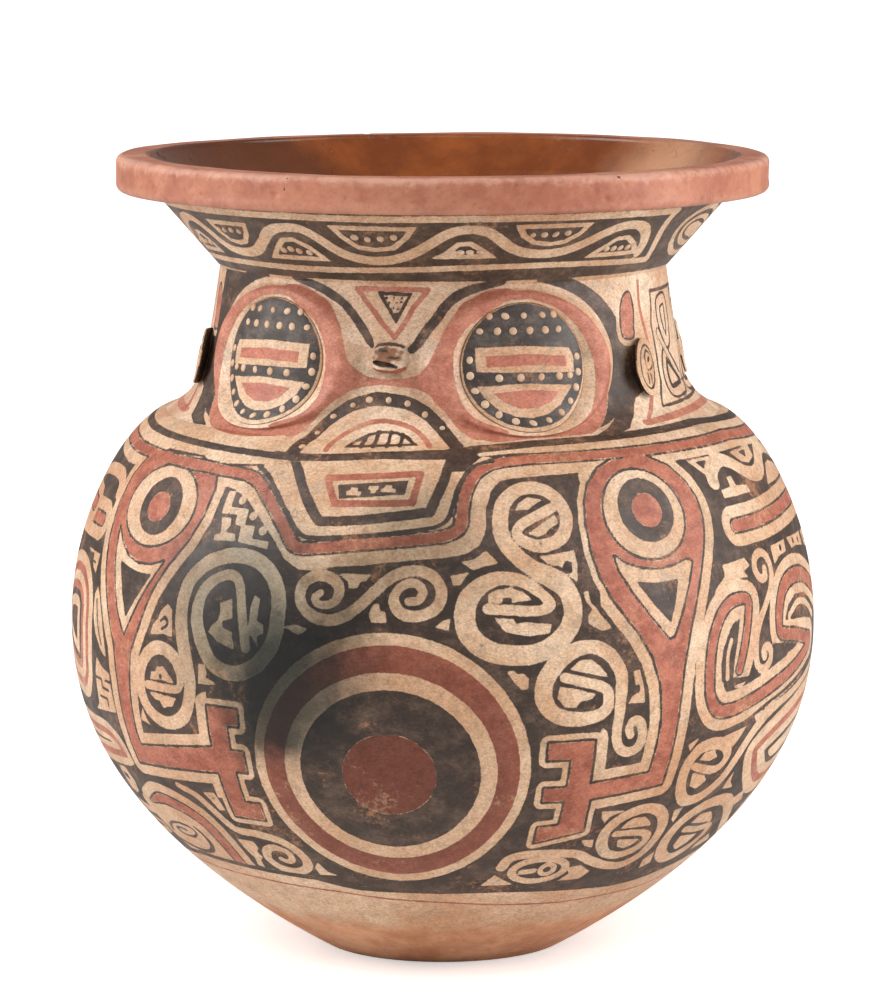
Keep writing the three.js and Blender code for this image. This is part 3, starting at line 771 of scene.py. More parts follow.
    def right_panel(self) -> None:
        """The waves, bars and curl that fill the side of the pot, from 60 degrees on."""
        self.chips(SHOULDER, CREAM, [(60.9, 309.8), (69, 310.2), (65.8, 307.4), (63.6, 301.8)])
        self.chips(SHOULDER, BLACK, [(63, 308.4), (66, 308.6), (64.2, 304.8)])
        wave = [(64.9, 297), (65.4, 301), (67, 305), (69.6, 307.8), (72.4, 306), (75, 301.6), (77.6, 297.4),
                (80.6, 295.6), (83.6, 297), (86.4, 301), (89.4, 305), (93, 306.5), (97, 304), (100, 300)]
        self.stroke(SHOULDER, CREAM, wave, 10)
        self.chips(SHOULDER, CREAM,
                   [(75.6, 309.8), (86, 310), (84.6, 304.4), (80.6, 302), (77.6, 304)],
                   [(66, 287.6), (66, 291.8), (69.2, 292.6), (69.4, 298), (70.8, 298), (71, 292.6),
                    (74.6, 291.6), (75, 287.8)],
                   [(84, 288), (86, 292.6), (89, 297.6), (93, 298), (99, 293), (100, 288)])
        self.chips(SHOULDER, BLACK, [(79, 308.6), (82.4, 308.6), (80.8, 305)])
        self.lay(BODY.line([(66, 271.8), (75, 272.4), (88, 275), (98, 275), (112, 272)], 7.6),
                 (CREAM, 8.4), (BLACK, 1.4), (RED, -0.2))
        self.stroke(BODY, CREAM, [(68.9, 195), (68.5, 198.5), (69.6, 200.8), (70.8, 197), (70.6, 191),
                                  (68.9, 187.6), (67.1, 190), (66.4, 198), (66.7, 208), (67.9, 217),
                                  (69.9, 225), (72, 233), (73.2, 242), (72.9, 250), (71.2, 254.5),
                                  (69, 252.5), (68.3, 246), (69.3, 240.5), (70.9, 240.5), (71.2, 245)], 5.2)
        self.chips(BODY, CREAM,
                   [(60.3, 252), (66, 253.5), (67, 249), (65, 246.5), (66, 243), (62.5, 243.5),
                    (60.5, 240.5), (59.5, 238), (57.2, 234.6), (57.8, 239), (60.4, 246)],
                   [(75, 256), (81, 257), (80.6, 250.6), (77.4, 249.6), (75, 246)],
                   [(82.6, 257), (92, 256), (92, 248), (87, 250.6), (84, 250.4)],
                   [(94, 255), (99, 254), (99, 244), (95.4, 246)])
        self.dots(BODY, BLACK, [(78.6, 253.4), (85.6, 254), (89.2, 252.4), (96.4, 250)], 1.9)
        self.nested_loop()
        self.side_loops()

    def nested_loop(self) -> None:
        """The long red band that hooks round a slot, runs low to the side and loops back."""
        path = [(62.2, 191), (63, 200), (63.9, 211), (64.7, 222), (64.9, 230.5), (61.5, 231.5), (58.6, 226),
                (56.6, 215), (55.7, 203), (55.5, 190), (55.9, 178), (57.8, 169), (61, 167.5), (66, 170.5),
                (72, 175.5), (79, 181), (85, 187), (89, 192.6), (85, 197), (80, 201.5), (75.6, 204.5),
                (73.8, 208), (74.2, 220), (76.5, 231), (80.6, 235.5), (86, 234), (92, 226), (98, 216),
                (103, 200)]
        band = BODY.line(path, [5.5] * 5 + [6.5] * 6 + [7.5] * 7 + [7] * 4 + [8.5] * 7)
        self.lay(band, (CREAM, 8), (BLACK, 1.4), (RED, -0.2))
        self.chips(BODY, BLACK,
                   [(58.4, 205), (60, 215), (62.4, 220.5), (61.6, 208), (60.9, 197), (60.6, 186.5),
                    (64.3, 185.5), (67, 188), (66, 184), (60, 181.5), (58.2, 186), (57.9, 196)],
                   [(71.6, 201), (76, 198.6), (81.6, 195), (76, 192), (71.4, 189.6)],
                   [(76, 212.5), (77.6, 220), (81, 224.6), (86, 223), (91, 215), (96, 202), (93.6, 200),
                    (90, 207)])
        self.stroke(BODY, CREAM, [(59.4, 187), (59.3, 200), (60.2, 209)], 2.8)
        self.stroke(BODY, CREAM, [(77.6, 214), (82, 219.6), (87, 216), (92, 206)], 4)
        self.stroke(BODY, BLACK, [(52.1, 214), (52, 190), (52.2, 168), (53.6, 157.6), (58, 154.4),
                                  (65, 157.6), (71, 165), (78, 170.6), (88, 179), (96, 186)], 2.6)

    def side_loops(self) -> None:
        """The pointed loops under it."""
        lower = BODY.patch([(69.6, 136), (73, 148), (80, 157), (90, 165), (101, 168), (106, 150), (104, 128),
                            (92, 112), (81, 106), (74, 116)], soft=True)
        self.lay(lower, (CREAM, 3.6), (RED, -5), (CREAM, -11), (BLACK, -19), (CREAM, -23))
        under = BODY.patch([(68, 159.6), (75, 164.6), (86, 172), (96, 180), (97, 176.6), (86, 168),
                            (76, 160.6), (70, 153)])
        self.lay(under, (CREAM, 0.6))
        foot = LOWER.patch([(84, 94), (90, 104), (98, 108), (106, 100), (106, 84), (98, 76), (88, 78)],
                           soft=True)
        self.lay(foot, (CREAM, 2), (BLACK, -6), (CREAM, -10))
        self.chips(BODY, CREAM,
                   [(100.6, 186), (105, 190), (106, 178), (101, 176)],
                   [(103, 216), (106, 224), (108, 212), (105, 208)],
                   [(72.6, 104.6), (76, 107.6), (79, 100.4), (76.6, 98.4)])

    def left_panel(self) -> None:
        """The arch, bar, ringed oval, leaf and loop at the left edge of the front."""
        self.stroke(BODY, CREAM, [(-56.6, 284), (-57.4, 290), (-60, 293.6), (-65, 294), (-71, 292),
                                  (-76, 287)], 8)
        self.stroke(BODY, CREAM, [(-55.8, 298.6), (-54.9, 294.6), (-55.4, 287)], [2, 3, 2])
        bar = BODY.line([(-59, 267), (-66, 267), (-78, 266)], 7)
        self.lay(bar, (CREAM, 9), (BLACK, 1.3), (RED, -0.2))
        oval = BODY.patch([(-54.7, 204), (-55, 222), (-57.4, 236), (-62.4, 244.6), (-70, 243), (-76.6, 230),
                           (-78, 206), (-76, 180), (-68, 162.6), (-60, 160), (-56, 172), (-54.9, 188)],
                          soft=True)
        self.lay(oval, (CREAM, 0), (RED, -6.8), (CREAM, -12), (RED, -17.6), (BLACK, -22.6),
                 (CREAM, -26.6), (BLACK, -33))
        self.chips(BODY, CREAM,
                   [(-54.3, 226), (-53.4, 230.5), (-52.4, 226), (-50.9, 214), (-49.9, 202), (-49.2, 191),
                    (-50.8, 194), (-53, 203), (-54.2, 214)],
                   [(-52.8, 189), (-51, 184.5), (-48.5, 181.5), (-48.1, 158.5), (-56.2, 156), (-54.4, 160),
                    (-53.9, 170), (-53.6, 180)],
                   [(-62, 249.6), (-55.4, 248.6), (-55.6, 237), (-57.6, 241.6), (-58.6, 245.6)])
        lines = joined(
            BODY.line([(-53.3, 223), (-52.2, 209), (-50.8, 197.6)], 1.7),
            BODY.line([(-54, 177), (-51.6, 176.6), (-51.5, 171.6), (-49.4, 171)], 2, sharp=True),
            BODY.line([(-48, 176.5), (-50.2, 176.6)], 1.8),
            BODY.line([(-53, 165.6), (-50.4, 165.4), (-50.4, 160.6)], 1.8, sharp=True),
            BODY.line([(-60, 247), (-58.4, 246.6), (-58.2, 243.4), (-56.6, 243)], 1.7, sharp=True),
        )
        self.lay(lines, (BLACK, 0))
        loop = BODY.patch([(-82, 150), (-62, 150), (-54, 150), (-49.6, 143), (-48, 131), (-49.4, 124.6),
                           (-62, 121), (-82, 118)], soft=True)
        self.lay(loop, (CREAM, 0), (RED, -5.6), (CREAM, -10.6), (BLACK, -14.6))

    def neck_rings(self) -> None:
        """The lines round the foot of the neck."""
        zone = self.painter.zone
        zone(CREAM, self.GROUND_TOP, [(-60, 331), (100, 331)])
        zone(BLACK, [(x, z - 1.1) for x, z in self.RED_LOW], [(x, z + 1.1) for x, z in self.RED_HIGH])
        zone(RED, self.RED_LOW, self.RED_HIGH)
        self.neck_line()

    def neck_line(self) -> None:
        """The black line round the foot of the neck, with cream over it."""
        low = [(-60, 318.6), (-45, 317.4), (-30, 316.2), (-15, 315), (-9, 315.8), (1.5, 318), (12.7, 318.6),
               (17.5, 321), (30, 323.4), (75, 325.4), (100, 321)]
        high = [(-60, 321.6), (-45, 320.5), (-30, 319.3), (-16, 318.5), (-9, 319.5), (1, 321.7), (12.7, 323),
                (17.5, 324.5), (30, 326.3), (75, 328.4), (100, 324)]
        self.painter.zone(CREAM, low, [(x, z + 0.8) for x, z in high])
        self.painter.zone(BLACK, low, high)

    def mouth_panel(self) -> None:
        """The trapezoid that hangs under the mouth, with its outlines."""
        self.lay(SHOULDER.patch([(-27.1, 299), (-24.7, 297.7), (-21.8, 293.8), (-18.9, 285.8),
                                 (-16.5, 278.9), (-14.4, 271.8), (-12.4, 263.2), (-9.9, 258), (-7, 258),
                                 (-3.7, 261), (0, 261.7), (4.1, 263.9), (10, 266), (13.2, 266.8),
                                 (16.1, 269), (18.1, 273.2), (19.2, 281.6), (19.4, 292.5), (20.4, 301.5),
                                 (22.2, 307.1), (25.5, 308.4), (30, 309), (35, 314.5), (18, 320), (0, 318),
                                 (-16, 315.4), (-30, 304.5)]), (CREAM, 0))
        red = SHOULDER.line([(-44, 308.6), (-38, 308.1), (-30, 307.2), (-24, 306), (-21.3, 303.9),
                             (-19.2, 299.5), (-16.5, 291.3), (-13.6, 280.8), (-11.7, 272.3), (-10.2, 269.4),
                             (-7.8, 270), (0, 273.3), (10, 277), (13, 278.6), (15.1, 283), (15.6, 292.5),
                             (16.3, 301.5), (17.7, 309.2), (19.8, 314), (22.6, 316.3), (28, 317.6),
                             (36, 317.9), (46, 318)], 6.2)
        self.lay(red, (BLACK, 1.5), (RED, 0))
        self.stroke(SHOULDER, RED, [(-48, 308.8), (-40, 308.2)], 5.4)
        self.stroke(SHOULDER, RED, [(42, 318), (50, 318)], 5.4)
        self.panel_frame()
        self.panel_box()

    def panel_frame(self) -> None:
        """The black lines inside the panel's red edge."""
        inner = SHOULDER.line([(-21.8, 310.9), (-19.3, 307), (-16.5, 299), (-13.6, 288.5), (-11.5, 280.3),
                               (-10, 276.3), (-7.8, 275.6), (0, 277.7), (9.6, 282), (12.2, 284.6),
                               (13.4, 288.7), (14.3, 297.7), (15.2, 305.3), (16.9, 312.3), (18.6, 315.6),
                               (21.4, 317)], 2.6)
        self.lay(inner, (BLACK, 0))
        frame_line = SHOULDER.line([(-15.6, 317), (-13.6, 310.2), (-12, 302.8), (-10.3, 295), (-8.5, 287.4),
                                    (-7.6, 284.6), (-4.6, 285), (0, 286.4), (4.9, 288.5), (10.3, 291),
                                    (11.2, 297.5), (12.4, 306), (13.6, 316), (14.2, 321)], 6, sharp=True)
        self.lay(frame_line, (BLACK, 0))
        self.lay(SHOULDER.patch([(13, 322), (17.6, 322.5), (19.4, 319), (16, 312), (13.4, 312)]), (BLACK, 0))

    def panel_box(self) -> None:
        """The red box in the middle of the panel, with its stepped figures."""
        box = SHOULDER.line([(-7.8, 307.4), (8.6, 311), (7.4, 295.8), (-5.5, 294.2)], 4.2, closed=True,
                            sharp=True)
        self.lay(box, (RED, 0))
        self.lay(SHOULDER.patch([(-5.5, 304), (6.5, 307.3), (6.1, 300.4), (-4.9, 297)]), (BLACK, 0.2))
        for place, level, width in [(-2.6, 299.2, 8.5), (0.7, 304.2, 6), (3.2, 301.2, 8.5)]:
            lean = 180 if level > 303 else 0
            self.lay(SHOULDER.stairs((place, level), width, 4.6, 2, lean), (CREAM, 0))

    def mouth(self) -> None:
        """The half-moon mouth with its teeth, and the dotted arch over it."""
        arch = [(-16.4, 319), (-15, 326), (-14, 331), (-12.3, 336.6), (-8.8, 343.3), (-4.6, 347),
                (-1.4, 347.9), (4.4, 346), (8.4, 341.3), (11.3, 335), (13.4, 329), (15, 324.6)]
        border = joined(MOUTH.line(arch[2:-1], 16.6), MOUTH.patch([(-15, 323.5), *arch[1:-1], (15, 325)]))
        self.lay(border, (CREAM, 0))
        self.lay(MOUTH.patch([(-19, 315.2), (-9, 315.8), (1.3, 318), (12.7, 318), (19, 320.8), (19, 324.6),
                              (12.7, 323), (1.3, 321.7), (-9, 319.5), (-19, 318.8)]), (BLACK, 0))
        self.stroke(MOUTH, BLACK, arch, 8)
        self.stroke(MOUTH, BLACK, [(-19.5, 317.4), (-15, 317.2)], 6)
        self.stroke(MOUTH, RED, [(-9.9, 321.4), (-8.8, 327), (-6.9, 331), (-3.6, 335), (-0.5, 336.2),
                                 (3.4, 335), (6.7, 331.8), (8.8, 327.8), (9.9, 324.4)], 3.4)
        moon = MOUTH.patch([(-6.4, 323), (-4.9, 326.6), (-2.8, 329.8), (0.1, 331.2), (3, 330.9),
                            (5.4, 328.9), (7.6, 325)])
        self.lay(moon, (BLACK, 0.4), (CREAM, -2.2))
        for place, foot, top in [(-3.2, 323.4, 328.6), (-0.9, 323.6, 331), (1.7, 324, 331),
                                 (4.2, 324.4, 330)]:
            self.lay(MOUTH.line([(place, foot), (place, top)], 2.4, sharp=True), (BLACK, 0))

    def neck(self) -> None:
        """The face on the neck, and the panel between it and the face behind."""
        self.brow()
        for hand in Hand:
            self.eye_surround(hand.value)
        self.neck_line()
        self.nose_field()
        self.brow()
        for hand in Hand:
            self.temple(hand.value)

    def eye_surround(self, side: int) -> None:
        """The painted rings round an eye, and the black ground outside them."""
        ground = NECK.oval((side * 34, 369.5), 71, 51)
        beyond = NECK.patch(mirrored([(47, 330), (100, 330), (100, 430), (36, 430), (36, 352)], side))
        self.lay(clipped(ground, beyond), (BLACK, 0))
        self.lay(NECK.oval((side * 31.4, 369.5), 64.5, 46), (CREAM, -0.4))
        self.lay(NECK.oval((side * 31.8, 361), 57, 49), (RED, 0))
        self.lay(NECK.oval((side * 31.4, 363), 44.2, 42), (CREAM, 0))

    def nose_field(self) -> None:
        """The red field that joins the eyes between the nose and the mouth."""
        field = NECK.patch([(-25, 410.5), (-20, 406), (-16, 401), (-12.4, 390), (-10.6, 378), (-9.5, 370),
                            (-7, 362.6), (-3.5, 359.6), (2, 359.3), (6, 361.4), (8.5, 367), (10, 373),
                            (11.4, 381), (13, 389), (16.5, 401), (20, 406), (25, 410.5), (30, 408),
                            (19, 391), (15.6, 381), (14.8, 368), (15.8, 352), (19, 339), (26, 331),
                            (20, 327), (17.4, 329), (15.5, 335), (13.3, 342), (10.3, 349), (6, 354),
                            (0, 355.3), (-6, 354.3), (-10, 350.8), (-13.8, 343), (-16, 335), (-17.4, 329),
                            (-20, 326), (-26, 331), (-19.5, 338), (-17, 345), (-15.8, 352), (-15.4, 368),
                            (-16.2, 378), (-19.4, 391), (-30, 408)], soft=True)
        self.lay(field, (RED, 0))

    def brow(self) -> None:
        """The black strokes from the brow to the nose, and the pointed figure between them."""
        self.stroke(NECK, BLACK, [(-27, 414.5), (-21.5, 411.5), (-16.6, 407), (-12.7, 401.8), (-9.8, 395.5),
                                  (-7.4, 388.5), (-5.4, 381.5), (-4.6, 378)],
                    [5, 5, 5.2, 5.2, 5.4, 5.4, 5, 3])
        self.stroke(NECK, BLACK, [(27, 414.5), (21, 411.5), (16.5, 407.5), (13.4, 401.8), (10.7, 393.5),
                                  (8.3, 386), (6.5, 380), (5.1, 376.3)], [5, 5.4, 6, 6, 6, 6, 6, 5])
        point = NECK.line([(-9.2, 410.3), (8.8, 410.3), (5.2, 400), (3.2, 391), (0.9, 383), (-2.3, 391),
                           (-5.4, 400)], 3.1, closed=True, sharp=True)
        self.lay(point, (RED, 0))
        small = NECK.patch([(-3.9, 409), (5, 408.2), (1.1, 391)])
        self.lay(small, (BLACK, 0.3), (CREAM, -2))
        self.lay(NECK.patch([(-0.9, 397), (2.6, 397), (1.1, 391)]), (BLACK, 0))
        dots = [(-1.4, 405.3), (0.4, 405.6), (2.4, 405.4), (-0.7, 402.6), (1.1, 402.6), (2.2, 403),
                (0.3, 399.8), (1.4, 399.2)]
        self.dots(NECK, BLACK, dots, 0.95)

    def temple(self, side: int) -> None:
        """The black ground beside an eye, the leaf over the ear, and the pink lines behind it."""
        hollow = [(60.6, 379), (65.4, 379), (66.4, 362), (66, 347), (61.6, 343), (58.4, 335), (54.6, 329),
                  (49, 326), (44, 326.4), (49, 330), (54, 336.6), (57.6, 346), (60.2, 360)]
        self.lay(NECK.patch(mirrored(hollow, side)), (BLACK, 0))
        leaf = [(61.4, 379), (61.2, 390), (62.2, 398.5), (64.4, 403.5), (66, 402), (66.4, 393), (65.6, 384),
                (65.2, 378)]
        self.lay(NECK.patch(mirrored(leaf, side), soft=True), (CREAM, 4.6), (BLACK, 1.3), (RED, -0.3))
        hem = mirrored([(70.2, 409), (69.6, 399), (69.8, 390), (70.8, 380), (71.8, 370), (72, 361),
                        (70.8, 351), (68, 343), (65, 336.4), (62, 332)], side)
        self.stroke(NECK, CREAM, hem, 9.4)
        self.stroke(NECK, RED, hem, 3)
        self.stroke(NECK, RED, mirrored([(60, 330), (70, 331.2), (80, 332), (90, 332.5)], side), 5)
        if side > 0:
            self.side_interlace()
        else:
            self.lay(NECK.patch([(-46, 414), (-50, 409), (-54.6, 402), (-57.6, 391), (-58.4, 380),
                                 (-58.4, 346), (-62.4, 346), (-61.8, 390), (-61, 414)]), (BLACK, 0))

    def side_interlace(self) -> None:
        """The crossed loops half way between the two faces."""
        border = NECK.patch([(76, 402.5), (104, 402.5), (104, 392), (105.5, 380), (105, 362), (107, 347),
                             (104, 338.5), (76, 336.6), (70, 336.6), (74.4, 350), (75, 366), (74.2, 384),
                             (75.6, 394)])
        self.lay(border, (BLACK, 0.9), (CREAM, -1.2))
        middle = HALF_TURN / 2
        upper = [(80, 397), (86, 398), (86.5, 384), (85, 371), (82.4, 368.5), (79.6, 378), (78.6, 388)]
        lower = [(79, 364), (81.4, 366), (88, 352), (88.5, 343), (84, 341), (78.4, 341.5), (77.6, 352)]
        slant = [(77.6, 378), (80, 370), (84, 360), (88.6, 349)]
        for side in (-1, 1):
            self.lay(NECK.patch(mirrored(upper, side, middle), soft=True), (BLACK, 1.8), (CREAM, -0.2),
                     (BLACK, -5.2), (CREAM, -7))
            self.lay(NECK.patch(mirrored(lower, side, middle), soft=True), (BLACK, 2.6), (CREAM, 0.6),
                     (BLACK, -4), (CREAM, -7))
            self.lay(NECK.line(mirrored(slant, side, middle), 3.6), (BLACK, 1.1), (CREAM, 0))

    def collar(self) -> None:
        """The frieze on the collar: a wave with a dotted half-moon in each of its bends."""
        zone = self.painter.zone
        foot = [(-60, 415.2), (-20, 415), (20, 415.2), (50, 415.6), (100, 415.4)]
        zone(BLACK, foot, [(-60, 456.5), (100, 456.5)])
        self.stroke(COLLAR, CREAM, [(-66, 421.2), (-45, 421.5), (-20, 421), (0, 422), (20, 423.8),
                                    (40, 424.3), (58, 423.3), (69, 422.8)], 4.6)
        self.stroke(COLLAR, CREAM, [(-66, 453.4), (-45, 453.4), (-20, 453.4), (0, 453.4), (20, 453.9),
                                    (45, 453.6), (66, 453.2)], 5.2)
        self.stroke(COLLAR, CREAM, [(65.6, 453), (65.2, 446), (66, 438), (67.5, 430), (68.6, 423)], 5.4)
        wave = [(-74, 431), (-69, 430.5), (-64, 436), (-59.5, 443.5), (-55, 446.8), (-51.3, 445.6),
                (-48.6, 440), (-46, 433), (-43, 429.3), (-38.5, 428.3), (-34, 430.2), (-30, 436),
                (-26.6, 442.6), (-22.8, 446), (-18, 446), (-14.8, 441.4), (-12, 435), (-9, 430.6),
                (-5.4, 428.2), (-1.5, 427.8), (3, 429.6), (7, 434), (10.6, 440), (14, 445.4), (17.8, 447.4),
                (21.6, 445.6), (24.6, 440.4), (27.4, 435.4), (31, 432.4), (35.4, 431.6), (39.8, 432.8),
                (44, 437), (48, 442.6), (51.6, 446.2), (55.4, 446.6), (58.6, 444), (61, 438.4), (62.4, 432),
                (62.9, 428)]
        self.stroke(COLLAR, CREAM, wave, 7)
        self.collar_moons()
        self.collar_side()

    def collar_moons(self) -> None:
        """The half-moons: hanging ones in the upper bends of the wave, standing ones in the lower."""
        for centre, half, top, bottom in [(-38.4, 6.6, 447, 433.2), (-2, 9, 448.6, 433.6),
                                          (35.4, 8.3, 449.6, 436.4)]:
            moon = [(centre - half, top), (centre - 0.8 * half, top - 7),
                    (centre - 0.45 * half, bottom + 1.4), (centre, bottom),
                    (centre + 0.45 * half, bottom + 1.4), (centre + 0.8 * half, top - 7),
                    (centre + half, top)]
            self.dotted_moon(moon)
        for centre, half, top, bottom in [(-56, 6.4, 438.4, 426), (-22, 8, 440, 426.6),
                                          (17.2, 7, 439.8, 429.8), (54.2, 8, 440, 428)]:
            moon = [(centre - half, bottom), (centre - 0.62 * half, top - 6.4),
                    (centre - 0.25 * half, top - 0.7), (centre + 0.15 * half, top),
                    (centre + 0.6 * half, top - 5), (centre + half, bottom)]
            self.dotted_moon(moon)

    def dotted_moon(self, corners: Points) -> None:
        """One half-moon: cream outline and black middle. Its dots are raised and come later."""
        self.lay(COLLAR.patch(corners), (CREAM, 0.5), (BLACK, -3))

    def collar_side(self) -> None:
        """The nested ovals on the collar between the two faces."""
        loop = COLLAR.oval((84, 438), 33, 21, -12)
        self.lay(loop, (CREAM, 0), (BLACK, -4.6), (CREAM, -8.4), (BLACK, -12.6),
                 (CREAM, -15.6))
        self.stroke(COLLAR, CREAM, [(100, 453), (98.5, 444), (99.5, 434), (101, 423)], 5)
        self.stroke(COLLAR, CREAM, [(98, 453.4), (115, 453.4)], 5.2)
        self.stroke(COLLAR, CREAM, [(100, 421.6), (115, 421.2)], 4.6)


@dataclass(frozen=True)
class FeaturePainting:
    """Painting of one modelled feature, on its own plan in millimetres."""

    painter: Painter

    def pellet(self) -> None:
        """The eye's black disc with its bars. Its dots are raised and come later."""
        lay = self.painter.lay
        lay(FEATURE.oval((0, 1), 36, 34.7), (BLACK, 0))
        lay(FEATURE.patch([(-28.5, -2.4), (-29, 11.4), (0, 12), (27, 9.8), (29.3, 5), (29, -4.4), (0, -3)]),
            (CREAM, 0))
        lay(FEATURE.patch([(-22.5, 0.2), (-22.8, 6.6), (0, 7.4), (24, 5.4), (24.2, -0.6), (0, 0.8)]),
            (RED, 0))
        moon = FEATURE.patch([(-28, -10.6), (-24, -17.5), (-17, -24), (-8, -27.6), (1, -28.6), (10, -26.6),
                              (18, -22), (24.5, -14.5), (26.6, -11.4), (0, -9.4)])
        lay(moon, (CREAM, 0))
        lay(FEATURE.patch([(-19.5, -14.4), (-14, -19.6), (-6, -23), (4, -23.4), (12, -20.4), (18.5, -14.6),
                           (0, -12.8)]), (RED, 0))

    def nose(self) -> None:
        """The nose's worn front: dark over it, a painted shadow along its slot, and red under it."""
        strokes = (
            (BLACK, [(-10.4, 5.2), (-7, 7), (-2, 7.8), (4, 7.6), (8, 6.2)], [1.6, 2, 1.8, 2, 1.4]),
            # painted shadow: the second black stroke lies along the slot, where the nose's tip leaves shade
            (BLACK, [(-8.6, -2.1), (-4, -3), (0, -3.6), (4.8, -4.4)], [1.8, 2.8, 2.6, 1.6]),
            (BLACK, [(-6.4, 4), (-4.6, 4.6), (-1.6, 4.2), (-0.4, 3.4)], [0.8, 2.4, 1.8, 0.7]),
            (BLACK, [(-1.2, 0.4), (2, 0.9), (3.6, 0.3), (6, 0.6)], [0.7, 2, 1.4, 1.1]),
            (RED, [(-10.4, -5.6), (-6, -7), (0, -7.6), (5, -7.2), (9, -5.6)], 2.2),
        )
        for slip, points, width in strokes:
            self.painter.lay(FEATURE.line(points, width), (slip, 0))

    def ear(self) -> None:
        """The ear's cream face with thin dark ovals, and its dark underside edge."""
        lay = self.painter.lay
        lay(FEATURE.oval((0, 0), 9.4, 13.2), (BLACK, 0), (CREAM, -1.3))
        lay(FEATURE.oval((0.6, 3.6), 5.2, 6.2), (BLACK, 0), (CREAM, -1.2))
        lay(FEATURE.oval((0.6, 4.2), 1.6, 1.9), (BLACK, 0))
        lay(FEATURE.line([(-3.6, -3.4), (-1.4, -9.6)], 1.4), (BLACK, 0))
        lay(FEATURE.line([(0.4, -4), (2.2, -9.4)], 1.4), (BLACK, 0))


Corner = tuple[np.ndarray, np.ndarray]


@dataclass(frozen=True)
class StripMap:
    """Lays the outer face of a turned piece out in strips one above another, the rest below them."""

    columns: int
    travel: np.ndarray
    detail: int
    strips: int = 4
    shared: float = 0.86
    gap: float = 0.004

    def place(self, row: np.ndarray, column: np.ndarray, j: np.ndarray, i: np.ndarray) -> Corner:
        """Where the corners of the faces go on the map.

        Args:
            row: row of each face.
            column: column of each face.
            j: row of each of its corners.
            i: column of each of its corners.

        Returns:
            Both coordinates of each corner.
        """
        width = self.columns / self.strips
        strip = np.floor(column / width)
        height = self.shared / self.strips
        up = (self.travel[j] - self.travel[0]) / (self.travel[self.detail] - self.travel[0])
        u = self.gap + (1 - 2 * self.gap) * (i - strip * width) / width
        v = strip * height + self.gap + (height - 2 * self.gap) * up
        rest = (self.travel[j] - self.travel[self.detail]) / (self.travel[-1] - self.travel[self.detail])
        plain = row >= self.detail
        u = np.where(plain, i / self.columns, u)
        v = np.where(plain, self.shared + self.gap + (1 - self.shared - 2 * self.gap) * rest, v)
        return u, v


@dataclass(frozen=True)
class DiscMap:
    """Lays the face of a round piece out as a large disc, and its underside as a small one."""

    columns: int
    radii: np.ndarray
    detail: int
    face_size: float = 0.42
    face_middle: float = 0.43
    under_size: float = 0.09
    under_middle: float = 0.9

    def place(self, row: np.ndarray, column: np.ndarray, j: np.ndarray, i: np.ndarray) -> Corner:
        """Where the corners of the faces go on the map, as for StripMap."""
        turn = 2 * math.pi * i / self.columns
        under = row >= self.detail
        last = len(self.radii) - 1
        face = self.radii[np.clip(j + 1, 0, last)] / self.radii.max()
        size = np.where(under, self.under_size, self.face_size) * face
        middle = np.where(under, self.under_middle, self.face_middle)
        return middle + size * np.cos(turn), middle + size * np.sin(turn)


